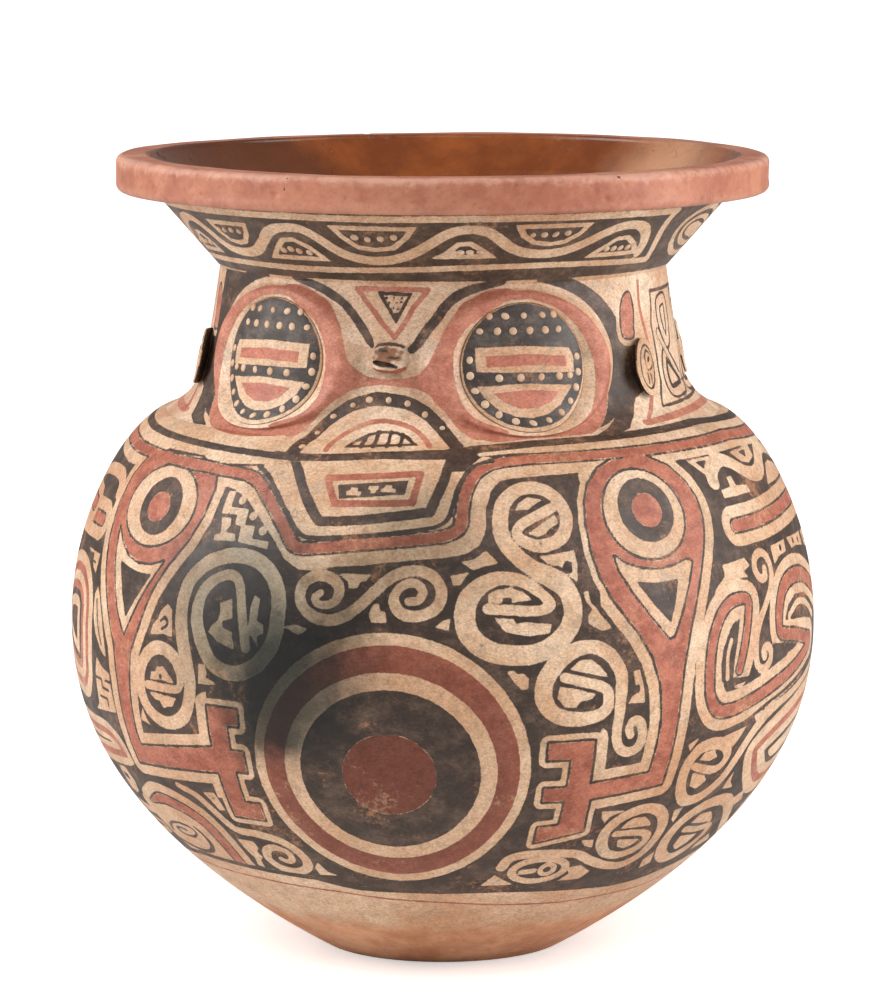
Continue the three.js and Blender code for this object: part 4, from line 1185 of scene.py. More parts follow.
@dataclass
class Lattice:
    """A closed surface of rows of points, each row a ring, with a pole at each end or none."""

    name: str
    rows: np.ndarray
    chart: StripMap | DiscMap
    sharp_rows: Sequence[int] = ()
    poles: Optional[np.ndarray] = None

    def faces(self) -> tuple[np.ndarray, ...]:
        """Row and column of each face, and row and column of its four corners."""
        count, columns = self.rows.shape[:2]
        bands = count if self.poles is None else count - 1
        row, column = np.meshgrid(np.arange(bands), np.arange(columns), indexing="ij")
        row, column = row.reshape(-1, 1), column.reshape(-1, 1)
        j = row + np.array([[0, 0, 1, 1]])
        i = column + np.array([[0, 1, 1, 0]])
        return row, column, j, i

    def build(self, fields: dict[str, np.ndarray]) -> bpy.types.Object:
        """Makes the mesh and its object.

        Args:
            fields: values to keep at each point, by name.

        Returns:
            The object, in metres at the origin.
        """
        count, columns = self.rows.shape[:2]
        row, column, j, i = self.faces()
        corners = (j % count) * columns + i % columns
        u, v = self.chart.place(row, column, j, i)
        starts = np.arange(len(corners)) * 4
        loops, across, up = corners.ravel(), u.ravel(), v.ravel()
        points = self.rows.reshape(-1, 3)
        if self.poles is not None:
            points = np.vstack([points, self.poles])
            fan_loops, fan_across, fan_up = self.fans()
            starts = np.concatenate([starts, starts[-1] + 4 + np.arange(2 * columns) * 3])
            loops = np.concatenate([loops, fan_loops])
            across = np.concatenate([across, fan_across])
            up = np.concatenate([up, fan_up])
            fields = {name: np.concatenate([value, value[[0, -1]]]) for name, value in fields.items()}
        mesh = self.mesh(points, loops, starts)
        chart = mesh.uv_layers.new(name=BAKE_MAP)
        chart.uv.foreach_set("vector", np.column_stack([across, up]).astype(np.float32).ravel())
        for name, value in fields.items():
            mesh.attributes.new(name, "FLOAT", "POINT").data.foreach_set("value", value.astype(np.float32))
        self.mark_sharp(mesh, columns)
        mesh.validate()
        piece = bpy.data.objects.new(self.name, mesh)
        bpy.context.scene.collection.objects.link(piece)
        return piece

    def fans(self) -> tuple[np.ndarray, np.ndarray, np.ndarray]:
        """The triangles round the two poles: their points, and both coordinates of these on the map."""
        count, columns = self.rows.shape[:2]
        ring = np.arange(columns)
        following = (ring + 1) % columns
        first, last = count * columns, (count - 1) * columns
        low_fan = np.column_stack([np.full(columns, first), following, ring])
        high_fan = np.column_stack([last + ring, last + following, np.full(columns, first + 1)])
        low_j = np.tile([[-1, 0, 0]], (columns, 1))
        high_j = np.tile([[count - 1, count - 1, count]], (columns, 1))
        low_i = np.column_stack([ring + 0.5, ring + 1, ring])
        high_i = np.column_stack([ring, ring + 1, ring + 0.5])
        ring = ring.reshape(-1, 1)
        low_map = self.chart.place(np.full(ring.shape, -1), ring, low_j, low_i)
        high_map = self.chart.place(np.full(ring.shape, count - 1), ring, high_j, high_i)
        pairs = ((low_fan, high_fan), (low_map[0], high_map[0]), (low_map[1], high_map[1]))
        return tuple(np.concatenate([low.ravel(), high.ravel()]) for low, high in pairs)

    def mesh(self, points: np.ndarray, loops: np.ndarray, starts: np.ndarray) -> bpy.types.Mesh:
        """A smooth-shaded mesh from its points, the corners of its faces, and where each face starts."""
        mesh = bpy.data.meshes.new(self.name)
        mesh.vertices.add(len(points))
        mesh.vertices.foreach_set("co", (points * MM).astype(np.float32).ravel())
        mesh.loops.add(len(loops))
        mesh.loops.foreach_set("vertex_index", loops.astype(np.int32))
        mesh.polygons.add(len(starts))
        mesh.polygons.foreach_set("loop_start", starts.astype(np.int32))
        mesh.update(calc_edges=True)
        mesh.polygons.foreach_set("use_smooth", np.ones(len(starts), bool))
        return mesh

    def mark_sharp(self, mesh: bpy.types.Mesh, columns: int) -> None:
        """Marks the rings that are real corners, so that shading stops there."""
        ends = np.empty(len(mesh.edges) * 2, np.int32)
        mesh.edges.foreach_get("vertices", ends)
        ends = ends.reshape(-1, 2) // columns
        sharp = (ends[:, 0] == ends[:, 1]) & np.isin(ends[:, 0], list(self.sharp_rows))
        mesh.attributes.new("sharp_edge", "BOOLEAN", "EDGE").data.foreach_set("value", sharp)


def ring_points(radii: np.ndarray, levels: np.ndarray, degrees: np.ndarray) -> np.ndarray:
    """Points on rings round the pot's axis, from radii and levels for each row and column."""
    turn = np.radians(degrees)
    return np.stack(np.broadcast_arrays(radii * np.sin(turn), -radii * np.cos(turn), levels), axis=-1)


def spread(columns: int, values: np.ndarray) -> tuple[np.ndarray, np.ndarray]:
    """The angle of each column in degrees and the value of each row, both for a whole grid."""
    degrees = np.arange(columns) * 360.0 / columns
    return np.repeat(degrees[None, :], len(values), 0), np.repeat(values[:, None], columns, 1)


def slip_fields(black: np.ndarray, red: np.ndarray, bare: np.ndarray) -> dict[str, np.ndarray]:
    """The values that a piece keeps at its points, by the names that the finishes look for."""
    return {BLACK_FIELD: black.ravel(), RED_FIELD: red.ravel(), BARE_FIELD: bare.ravel()}


def unpainted(bare: np.ndarray) -> dict[str, np.ndarray]:
    """The same values for a piece without any painting."""
    away = np.full(bare.shape, Painter.REACH)
    return slip_fields(away, away, bare)


@dataclass
class WallStage:
    """One coiled stage of the wall, with level faces where it is luted to its neighbours."""

    name: str
    slot: str
    bottom: float
    top: float
    columns: int
    spacing: float = 1.12
    inner_spacing: float = 14.0
    bare_below: float = 46.0
    bare_fade: float = 26.0

    def build(self) -> bpy.types.Object:
        """Makes the stage, painted on its outer face."""
        outside = FORM.levels_between(self.bottom, self.top, self.spacing)
        inside = FORM.levels_between(self.bottom, self.top, self.inner_spacing)[::-1]
        levels = np.concatenate([outside, inside])
        radii = np.concatenate([FORM.outer_radius(outside), FORM.inner_radius(inside)])
        grid_degrees, grid_levels = spread(self.columns, levels)
        sag = FORM.sag(grid_degrees, grid_levels)
        rows = ring_points(radii[:, None] - sag, grid_levels, grid_degrees)
        loop = np.append(np.arange(len(levels)), 0)
        travel = np.concatenate([[0], np.cumsum(np.hypot(np.diff(radii[loop]), np.diff(levels[loop])))])
        last = len(outside) - 1
        chart = StripMap(self.columns, travel, last)
        painting = PotPainting(grid_degrees[: last + 1].ravel(), grid_levels[: last + 1].ravel()).painter
        hidden = np.full(len(inside) * self.columns, Painter.REACH)
        bare = np.clip((self.bare_below - grid_levels) / self.bare_fade, 0, 1)
        bare[last + 1:] = LINING
        black, red = (np.concatenate([slip, hidden]) for slip in (painting.black, painting.red))
        corners = (0, last, last + 1, len(levels) - 1)
        return Lattice(self.name, rows, chart, corners).build(slip_fields(black, red, bare))


@dataclass
class BaseSlab:
    """The slab under the pot: a worn flat foot, the bowl's own curve on its edge, and its inner face."""

    name: str = "base_slab"
    slot: str = "base_clay"
    thickness: float = 18.0
    columns: int = 560
    spacing: float = 1.4
    pole_gap: float = 4.0
    foot_rings: int = 34
    top_rings: int = 24
    hollow: float = 0.5
    resting_width: float = 9.0

    def build(self) -> bpy.types.Object:
        """Makes the slab."""
        foot = np.linspace(self.pole_gap, FORM.foot_radius, self.foot_rings)
        edge = FORM.levels_between(0, self.thickness, self.spacing)[1:]
        top = np.linspace(float(FORM.outer_radius(self.thickness)), self.pole_gap, self.top_rings)[1:]
        radii = np.concatenate([foot, FORM.outer_radius(edge), top])
        levels = np.concatenate([np.zeros(len(foot)), edge, np.full(len(top), self.thickness)])
        grid_degrees, grid_levels = spread(self.columns, levels)
        sag = FORM.sag(grid_degrees, grid_levels) * (radii / radii.max())[:, None]
        rows = ring_points(radii[:, None] - sag, grid_levels, grid_degrees)
        hollow = self.hollow * np.clip(1 - radii / (FORM.foot_radius - self.resting_width), 0, 1)
        hollow[len(foot):] = 0
        rows[..., 2] += hollow[:, None]
        steps = np.hypot(np.diff(radii), np.diff(levels))
        reach = np.concatenate([[0, self.pole_gap], self.pole_gap + np.cumsum(steps),
                                [2 * self.pole_gap + steps.sum()]])
        detail = len(foot) + len(edge) - 1
        reach[detail + 2:] = np.concatenate([top, [0]])
        chart = DiscMap(self.columns, reach, detail)
        poles = np.array([[0, 0, self.hollow], [0, 0, self.thickness]])
        bare = np.full(rows.shape[:2], BARE_CLAY)
        return Lattice(self.name, rows, chart, (detail,), poles).build(unpainted(bare))


@dataclass
class RimBand:
    """The thick band at the mouth: it overhangs the collar outside and carries its slope on inside."""

    name: str = "rim_band"
    slot: str = "rim_clay"
    radius: float = 196.3
    top_width: float = 21.0
    rounding: float = 4.5
    columns: int = 1000
    spacing: float = 1.25
    rounding_steps: int = 6
    lip_steps: int = 4
    pits: int = 260
    pit_sizes: tuple[float, float] = (1.0, 2.8)
    pit_depths: tuple[float, float] = (0.35, 1.15)
    out_of_round: float = 0.35
    ridges: float = 0.12
    finger_marks: float = 0.1
    free_height: float = 6.0
    seed: int = 11

    def section(self) -> np.ndarray:
        """Radius and level round the band, from its inner foot out, up, over and down inside."""
        foot = (float(FORM.inner_radius(FORM.collar_top)), FORM.collar_top)
        outer = self.radius - self.rounding
        inner = self.radius - self.top_width
        points = [foot]
        for level, start in ((FORM.collar_top + self.rounding, -90), (FORM.rim_top - self.rounding, 0)):
            for step in range(self.rounding_steps + 1):
                turn = math.radians(start + 90 * step / self.rounding_steps)
                points.append((outer + self.rounding * math.cos(turn),
                               level + self.rounding * math.sin(turn)))
        lip = self.rounding / 2
        for step in range(self.lip_steps + 1):
            turn = math.radians(90 + 90 * step / self.lip_steps)
            points.append((inner + lip + lip * math.cos(turn), FORM.rim_top - lip + lip * math.sin(turn)))
        return np.array(points)

    def build(self) -> bpy.types.Object:
        """Makes the band, uneven and pitted as a hand leaves it."""
        corners = self.section()
        closed = np.vstack([corners, corners[:1]])
        along = np.concatenate([[0], np.cumsum(np.hypot(*np.diff(closed, axis=0).T))])
        steps = [np.linspace(start, end, max(round((end - start) / self.spacing), 1), endpoint=False)
                 for start, end in zip(along, along[1:])]
        marks = np.concatenate(steps)
        radii = np.interp(marks, along, closed[:, 0])
        levels = np.interp(marks, along, closed[:, 1])
        grid_degrees, grid_marks = spread(self.columns, marks)
        inwards = self.inward(radii, levels)
        loose = np.clip((levels - FORM.collar_top) / self.free_height, 0, 1)[:, None]
        depth = self.unevenness(np.radians(grid_degrees), grid_marks) * loose
        depth = depth + self.pitting(grid_degrees, grid_marks, along[-1]) * loose
        rows = ring_points(radii[:, None] + inwards[:, :1] * depth, levels[:, None] + inwards[:, 1:] * depth,
                           grid_degrees)
        chart = StripMap(self.columns, np.append(marks, along[-1]), len(marks) - 3)
        inside = (marks > along[-2] - self.rounding) | (marks < self.spacing / 2)
        bare = np.repeat(np.where(inside, LINING, BARE_CLAY), self.columns)
        return Lattice(self.name, rows, chart, (0,)).build(unpainted(bare))

    def unevenness(self, turn: np.ndarray, marks: np.ndarray) -> np.ndarray:
        """Depth of the band's slow waves and of the marks that fingers left on it."""
        waves = self.out_of_round * (2 + np.sin(2 * turn + 0.4) + np.sin(3 * turn + 2))
        ridges = self.ridges * (1 + np.sin(9 * turn + marks * 0.12))
        fingers = self.finger_marks * (1 + np.sin(17 * turn - marks * 0.2))
        return waves + (ridges + fingers)

    def inward(self, radii: np.ndarray, levels: np.ndarray) -> np.ndarray:
        """Direction into the clay at each point of the section."""
        middle = np.array([self.radius - self.top_width / 2 - 1, (FORM.collar_top + FORM.rim_top) / 2])
        towards = middle - np.column_stack([radii, levels])
        return towards / np.maximum(np.linalg.norm(towards, axis=1, keepdims=True), 1e-6)

    def pitting(self, degrees: np.ndarray, marks: np.ndarray, length: float) -> np.ndarray:
        """Depth of the small pits and chips scattered over the band."""
        chance = np.random.default_rng(self.seed)
        depth = np.zeros(degrees.shape)
        per_degree = self.radius * math.pi / 180
        for _ in range(self.pits):
            place, mark = chance.uniform(0, 360), chance.uniform(20, length)
            size, deep = chance.uniform(*self.pit_sizes), chance.uniform(*self.pit_depths)
            columns = np.abs((degrees[0] - place + 180) % 360 - 180) * per_degree < size * 2
            across = ((degrees[:, columns] - place + 180) % 360 - 180) * per_degree
            away = np.hypot(across, marks[:, columns] - mark) / size
            depth[:, columns] = np.maximum(depth[:, columns], deep * np.clip(1 - away**2, 0, 1))
        return depth


@dataclass(frozen=True)
class NeckSite:
    """Places on the neck's face, in millimetres round it from the front's middle, and levels."""

    turned: float = 0.0

    @cached_property
    def middle(self) -> float:
        """Level half way up the neck."""
        return (FORM.shoulder_top + FORM.pinch_level) / 2

    @cached_property
    def girth(self) -> float:
        """Radius that turns distance round the neck into an angle."""
        return float(FORM.outer_radius(self.middle))

    def degrees(self, around: np.ndarray) -> np.ndarray:
        """Angle from the front's middle of places round the neck."""
        return np.degrees(around / self.girth) + self.turned

    def points(self, around: np.ndarray, level: np.ndarray, proud: np.ndarray) -> np.ndarray:
        """Points so far proud of the neck's face."""
        degrees = self.degrees(around)
        radius = FORM.outer_radius(level) - FORM.sag(degrees, level) + proud
        return ring_points(radius, level, degrees)


@dataclass(frozen=True)
class FaceLayout:
    """Sizes of the modelled features, and the room that each eye has between the nose and the ear."""

    nose_width: float = 22.0
    nose_height: float = 20.0
    nose_projection: float = 10.0
    nose_rise: float = 2.0
    ear_angle: float = 66.5
    ear_width: float = 26.0
    ear_height: float = 33.0
    ear_thickness: float = 5.0
    ear_lift: float = 5.0
    ear_drop: float = 9.0
    nose_to_eye: float = 2.0
    eye_to_ear: float = 9.0
    eye_margin: float = 1.5
    ring_side_width: float = 27.5
    ring_top_width: float = 6.0
    pellet_drop: float = 3.0
    relief: float = 7.5
    moat: float = 3.0
    pellet_edge: float = 3.4
    pellet_crown: float = 3.6
    hole_gap: float = 0.35
    sunk: float = 0.6

    def ear_distance(self, site: NeckSite) -> float:
        """Distance round the neck from the front's middle to the middle of an ear."""
        return math.radians(self.ear_angle) * site.girth

    def eye(self, site: NeckSite) -> tuple[float, float, float]:
        """An eye's distance round the neck, and its half width and half height."""
        inner = self.nose_width / 2 + self.nose_to_eye
        outer = self.ear_distance(site) - self.ear_width / 2 - self.eye_to_ear
        height = (FORM.pinch_level - FORM.shoulder_top) / 2 - self.eye_margin
        return (inner + outer) / 2, (outer - inner) / 2, height

    def pellet(self, site: NeckSite) -> tuple[float, float]:
        """Half width and half height of the disc in the eye."""
        _, width, height = self.eye(site)
        return width - self.ring_side_width, height - self.ring_top_width


LAYOUT = FaceLayout()


def rings(start: float, count: int) -> np.ndarray:
    """Shares of the way from a middle to an edge, close-set towards the edge."""
    return np.sin(0.5 * math.pi * np.linspace(start, 1, count))


def headings(count: int) -> np.ndarray:
    """Headings round a full turn, clockwise as seen from outside the neck."""
    return -2 * math.pi * np.arange(count) / count


def disc_map(rows: np.ndarray, detail: int, start: float) -> DiscMap:
    """A map for a round piece, with radii from the distance between its rows."""
    steps = np.linalg.norm(np.diff(rows, axis=0), axis=2).mean(1)
    reach = start + np.concatenate([[0], np.cumsum(steps)])
    under = np.concatenate([reach[: detail + 1], reach[detail] - (reach[detail + 1:] - reach[detail])])
    radii = np.concatenate([[start * POLE_SHARE], np.maximum(under, 0), [max(under[-1], 0)]])
    return DiscMap(rows.shape[1], radii, detail)


@dataclass
class FaceFeature:
    """What the modelled features of a face share: where they are, and how they are named."""

    facing: Facing
    hand: Optional[Hand] = None
    kind: str = ""

    @property
    def site(self) -> NeckSite:
        """The neck, as seen from this feature's face."""
        return NeckSite(float(self.facing.value))

    @property
    def side(self) -> int:
        """Minus one on the viewer's left, one on the right."""
        return self.hand.value if self.hand else 0

    @property
    def name(self) -> str:
        """The name of this feature's solid."""
        parts = [self.facing.name.lower(), self.kind]
        if self.hand:
            parts.append(self.hand.name.lower())
        return "_".join(parts)


@dataclass
class EyeRing(FaceFeature):
    """The raised goggle round an eye: low by the pellet, highest half way out, dying into the neck."""

    kind: str = "eye_ring"
    slot: str = "eye_ring_paint"
    columns: int = 300
    bands: int = 40
    peak: float = 0.46
    inner_edge: float = 0.35
    seam: float = 0.14
    seam_start: float = 0.75
    narrowing: float = 1.2

    def proud(self, share: np.ndarray, fullness: np.ndarray) -> np.ndarray:
        """Height over the neck from the hole (0) to the outer edge (1), less where the goggle is narrow."""
        peak = self.peak
        crest = LAYOUT.moat + (LAYOUT.relief - LAYOUT.moat) * fullness
        rising = LAYOUT.moat + (crest - LAYOUT.moat) * np.sin(0.5 * math.pi * np.clip(share / peak, 0, 1))
        falling = crest * (0.5 + 0.5 * np.cos(math.pi * np.clip((share - peak) / (1 - peak), 0, 1)))
        edge = np.clip((share - self.seam_start) / (1 - self.seam_start), 0, 1)
        return np.where(share < peak, rising, falling) - self.seam * edge

    def build(self) -> bpy.types.Object:
        """Makes the goggle, painted with the neck."""
        site = self.site
        middle, width, height = LAYOUT.eye(site)
        hole_width, hole_height = (size + LAYOUT.hole_gap for size in LAYOUT.pellet(site))
        heading = headings(self.columns)[None, :]
        share = np.concatenate([[0.0], np.linspace(0, 1, self.bands), [0.6, 0.0]])[:, None]
        proud = self.proud(share, np.abs(np.cos(heading)) ** self.narrowing)
        proud[0] = self.inner_edge
        proud[-2:] = -LAYOUT.sunk
        around = self.side * middle + (hole_width + (width - hole_width) * share) * np.cos(heading)
        level = site.middle - LAYOUT.pellet_drop * (1 - share)
        level = level + (hole_height + (height - hole_height) * share) * np.sin(heading)
        rows = site.points(around, level, proud)
        painting = PotPainting((site.degrees(around) % 360).ravel(), level.ravel()).painter
        fields = slip_fields(painting.black, painting.red, np.zeros(around.size))
        chart = disc_map(rows, self.bands, hole_width)
        return Lattice(self.name, rows, chart, (self.bands,)).build(fields)


@dataclass
class EyePellet(FaceFeature):
    """The domed disc inside the goggle."""

    kind: str = "eye_pellet"
    slot: str = "eye_pellet_paint"
    columns: int = 240
    bands: int = 42
    pole_share: float = 0.02

    def proud(self, share: np.ndarray) -> np.ndarray:
        """Height of the dome over the neck, from its middle (0) to its edge (1)."""
        return LAYOUT.pellet_edge + LAYOUT.pellet_crown * np.sqrt(np.clip(1 - share**2, 0, 1))

    def build(self) -> bpy.types.Object:
        """Makes the disc, with its painted bars."""
        site = self.site
        middle = LAYOUT.eye(site)[0] * self.side
        width, height = LAYOUT.pellet(site)
        heading = headings(self.columns)[None, :]
        share = np.concatenate([rings(self.pole_share, self.bands), [1.0, 0.5, self.pole_share]])[:, None]
        proud = self.proud(share)
        proud[-3:] = -LAYOUT.sunk
        x = width * share * np.cos(heading)
        y = height * share * np.sin(heading)
        level = site.middle - LAYOUT.pellet_drop + y
        rows = site.points(middle + x, level, np.broadcast_to(proud, x.shape))
        painter = Painter((self.side * x).ravel(), y.ravel())
        FeaturePainting(painter).pellet()
        chart = disc_map(rows, self.bands, self.pole_share * width)
        poles = site.points(np.array([middle, middle]), np.full(2, site.middle - LAYOUT.pellet_drop),
                            np.array([float(self.proud(np.array(0.0))), -LAYOUT.sunk]))
        fields = slip_fields(painter.black, painter.red, np.zeros(x.size))
        return Lattice(self.name, rows, chart, (), poles).build(fields)


@dataclass
class Ear(FaceFeature):
    """The cupped oval ear: its back edge lies on the neck and its front edge stands off it."""

    kind: str = "ear"
    slot: str = "ear_paint"
    columns: int = 120
    bands: int = 22
    pole_share: float = 0.03
    cupping: float = 1.6
    thinnest: float = 0.9

    def build(self) -> bpy.types.Object:
        """Makes the ear, hollow underneath towards the eye."""
        site = self.site
        centre = self.side * LAYOUT.ear_distance(site)
        heading = headings(self.columns)[None, :]
        face = rings(self.pole_share, self.bands)
        share = np.concatenate([face, face[::-1]])[:, None]
        forward = -self.side * share * np.cos(heading)
        lift = (LAYOUT.ear_lift + 0.6) * ((1 + forward) / 2) ** 2
        dish = 0.12 * np.cos(3 * math.pi * share) * (share < 0.95)
        thick = LAYOUT.ear_thickness * (0.86 - 0.3 * share**4 - dish)
        top = thick + lift
        below = -LAYOUT.sunk + (lift + self.cupping) * np.clip((forward + 0.5) / 0.8, 0,
                                                               1) ** 1.3 * (0.55 + 0.45 * share)
        proud = np.where(np.arange(len(share))[:, None] < self.bands, top,
                         np.minimum(below, top - self.thinnest))
        x = LAYOUT.ear_width / 2 * share * np.cos(heading)
        y = LAYOUT.ear_height / 2 * share * np.sin(heading)
        level = site.middle - LAYOUT.ear_drop + y
        rows = site.points(centre + x, level, proud)
        painter = Painter((self.side * x).ravel(), y.ravel())
        FeaturePainting(painter).ear()
        painter.black[self.bands * self.columns:] = -Painter.REACH
        chart = disc_map(rows, self.bands, self.pole_share * LAYOUT.ear_width / 2)
        poles = site.points(np.array([centre, centre]), np.full(2, site.middle - LAYOUT.ear_drop),
                            np.array([proud[0].mean(), proud[-1].mean()]))
        fields = slip_fields(painter.black, painter.red, np.zeros(x.size))
        return Lattice(self.name, rows, chart, (), poles).build(fields)


@dataclass
class Nose(FaceFeature):
    """The nose lug: it grows out of the brow, and its blunt front is worn down round a slot."""

    kind: str = "nose"
    slot: str = "nose_paint"
    columns: int = 128
    bands: int = 60
    groove_centre: tuple[float, float] = (-2.0, -3.2)
    groove_half_width: float = 6.6
    groove_half_height: float = 1.5
    groove_depth: float = 3.4
    chipping: float = 0.4
    fullness: float = 0.93
    squareness: float = 2.7
    taper: float = 0.12
    pole_share: float = 0.015
    worn_centre: tuple[float, float] = (-0.8, 1.6)
    worn_half_width: float = 9.0
    worn_half_height: float = 5.0
    slip_edge: float = 0.4

    def proud(self, x: np.ndarray, y: np.ndarray, share: np.ndarray, rise: np.ndarray) -> np.ndarray:
        """Height over the neck: soft flanks, a blunt underside, a chipped front and its groove."""
        slope = 1 - 0.6 * ((1 + rise) / 2) ** 1.3
        under = np.clip(-2 * rise, 0, 1)
        swell = np.clip(1 - share ** (2.6 + 2.4 * under), 0, 1) ** (0.85 - 0.25 * under)
        chips = np.sin(0.55 * x + 0.3 * y) * np.sin(0.9 * y - 0.25 * x + 1)
        chips = chips + 0.4 * np.sin(0.8 * x - 1.2 * y + 2)
        height = LAYOUT.nose_projection * self.fullness * slope * swell
        height = height + self.chipping * chips * (1 - share**2)
        across = (x - self.groove_centre[0]) / self.groove_half_width
        up = (y - self.groove_centre[1] + 1.1 * across) / self.groove_half_height
        return height - self.groove_depth * np.clip(1 - across**4 - up**2, 0, 1) ** 0.5

    def build(self) -> bpy.types.Object:
        """Makes the lug with its worn front."""
        site = self.site
        heading = headings(self.columns)[None, :]
        share = np.concatenate([rings(self.pole_share, self.bands), [1.0, 0.4]])[:, None]
        power = self.squareness
        square = 1 / (np.abs(np.cos(heading)) ** power + np.abs(np.sin(heading)) ** power) ** (1 / power)
        rise = np.sin(heading) * share * square
        narrowed = 1 - self.taper * np.maximum(rise, 0)
        x = LAYOUT.nose_width / 2 * share * square * np.cos(heading) * narrowed
        y = LAYOUT.nose_height / 2 * rise * (1 - self.taper * np.maximum(-rise, 0))
        proud = self.proud(x, y, share, rise)
        proud[-2:] = -LAYOUT.sunk
        proud = np.maximum(proud, -LAYOUT.sunk)
        level = site.middle + LAYOUT.nose_rise + y
        rows = site.points(x, level, proud)
        painter = Painter(x.ravel(), y.ravel())
        FeaturePainting(painter).nose()
        chart = disc_map(rows, self.bands, self.pole_share * LAYOUT.nose_width / 2)
        poles = site.points(np.zeros(2), np.full(2, site.middle + LAYOUT.nose_rise),
                            np.array([proud[0].mean(), -LAYOUT.sunk]))
        fields = slip_fields(painter.black, painter.red, self.worn(x, y, painter))
        return Lattice(self.name, rows, chart, (), poles).build(fields)

    def worn(self, x: np.ndarray, y: np.ndarray, painter: Painter) -> np.ndarray:
        """How far the front is worn down to the clay, up to the edge of its black strokes."""
        ragged = 0.3 * np.sin(0.8 * x + 0.5 * y) * np.sin(1.0 * y - 0.4 * x + 1)
        left, up = self.worn_centre
        away = np.hypot((x - left) / self.worn_half_width, (y - up) / self.worn_half_height)
        bare = np.clip(1.4 + ragged - away, 0, 1)
        return bare * np.clip(1 + painter.black.reshape(x.shape) / self.slip_edge, 0, 1)


class NodeKit:
    """Adds the nodes of one tree and joins them."""

    def __init__(self, tree: bpy.types.NodeTree) -> None:
        """Starts on an empty tree."""
        self.tree = tree
        tree.nodes.clear()

    def feed(self, socket: bpy.types.NodeSocket, value: object) -> None:
        """Links a socket to another, or sets its value."""
        if isinstance(value, bpy.types.NodeSocket):
            self.tree.links.new(value, socket)
        else:
            socket.default_value = value

    def add(self, kind: str, values: Optional[dict] = None, **settings: object) -> bpy.types.Node:
        """A new node with its settings, and its inputs by name or number."""
        node = self.tree.nodes.new(kind)
        for key, value in settings.items():
            setattr(node, key, value)
        for key, value in (values or {}).items():
            self.feed(node.inputs[key], value)
        return node

    def math(self, operation: str, first: object, second: object = 0.0) -> bpy.types.NodeSocket:
        """One step of reckoning on numbers."""
        return self.add("ShaderNodeMath", {0: first, 1: second}, operation=operation).outputs[0]

    def plus(self, first: object, second: object) -> bpy.types.NodeSocket:
        """The sum of two numbers."""
        return self.math("ADD", first, second)

    def minus(self, first: object, second: object) -> bpy.types.NodeSocket:
        """The first number less the second."""
        return self.math("SUBTRACT", first, second)

    def times(self, first: object, second: object) -> bpy.types.NodeSocket:
        """The product of two numbers."""
        return self.math("MULTIPLY", first, second)

    def mix(self, share: object, first: object, second: object, blend: str = "MIX") -> bpy.types.NodeSocket:
        """Two colours mixed."""
        node = self.add("ShaderNodeMix", {0: share, 6: first, 7: second}, data_type="RGBA", blend_type=blend)
        return node.outputs[2]

    def span(self, value: object, low: object, high: object, first: object = 0.0, last: object = 1.0,
             smooth: bool = True) -> bpy.types.NodeSocket:
        """A number brought from one range to another."""
        node = self.add("ShaderNodeMapRange", {0: value, 1: low, 2: high, 3: first, 4: last},
                        interpolation_type="SMOOTHSTEP" if smooth else "LINEAR")
        return node.outputs[0]

    def noise(self, place: object, scale: float, detail: float = 3.0,
              rough: float = 0.55) -> bpy.types.NodeSocket:
        """Even noise round one half."""
        node = self.add("ShaderNodeTexNoise", {"Vector": place, "Scale": scale, "Detail": detail,
                                               "Roughness": rough})
        return node.outputs[0]

    def wander(self, place: object, scale: float, detail: float = 3.0,
               rough: float = 0.55) -> bpy.types.NodeSocket:
        """The same noise, round nought."""
        return self.minus(self.noise(place, scale, detail, rough), 0.5)

    def field(self, name: str) -> bpy.types.NodeSocket:
        """A value kept on the mesh."""
        return self.add("ShaderNodeAttribute", attribute_name=name).outputs["Fac"]

    def group(self, tree: bpy.types.NodeTree, values: dict[str, object]) -> bpy.types.Node:
        """A node that uses a shared group."""
        node = self.add("ShaderNodeGroup", node_tree=tree)
        for label, value in values.items():
            self.feed(node.inputs[label], value)
        return node

    def length(self, vector: object) -> bpy.types.NodeSocket:
        """How long a vector is."""
        return self.add("ShaderNodeVectorMath", {0: vector}, operation="LENGTH").outputs["Value"]

    def seen(self) -> bpy.types.NodeSocket:
        """One for rays that the camera sends out, and nought for all others."""
        rays = self.add("ShaderNodeLightPath")
        return self.math("MAXIMUM", rays.outputs["Is Camera Ray"], rays.outputs["Is Transmission Ray"])

    def place(self, stretch: tuple[float, float, float] = (1, 1, 1)) -> bpy.types.NodeSocket:
        """The piece's own coordinates, stretched if asked."""
        coordinate = self.add("ShaderNodeTexCoord").outputs["Object"]
        if stretch == (1, 1, 1):
            return coordinate
        return self.add("ShaderNodeMapping", {"Vector": coordinate, "Scale": stretch}).outputs[0]


def colour(code: str) -> tuple[float, float, float, float]:
    """A colour written as on screen, turned into light."""
    parts = [int(code[i: i + 2], 16) / 255 for i in (1, 3, 5)]
    light = [part / 12.92 if part <= 0.04045 else ((part + 0.055) / 1.055) ** 2.4 for part in parts]
    return (light[0], light[1], light[2], 1.0)


def new_group(name: str, inputs: dict[str, float], outputs: dict[str, str]) -> tuple[bpy.types.NodeTree,
                                                                                     NodeKit]:
    """An empty shader group with number inputs and the given outputs."""
    tree = bpy.data.node_groups.new(name, "ShaderNodeTree")
    for label, value in inputs.items():
        tree.interface.new_socket(label, in_out="INPUT", socket_type="NodeSocketFloat").default_value = value
    for label, kind in outputs.items():
        tree.interface.new_socket(label, in_out="OUTPUT", socket_type=kind)
    return tree, NodeKit(tree)


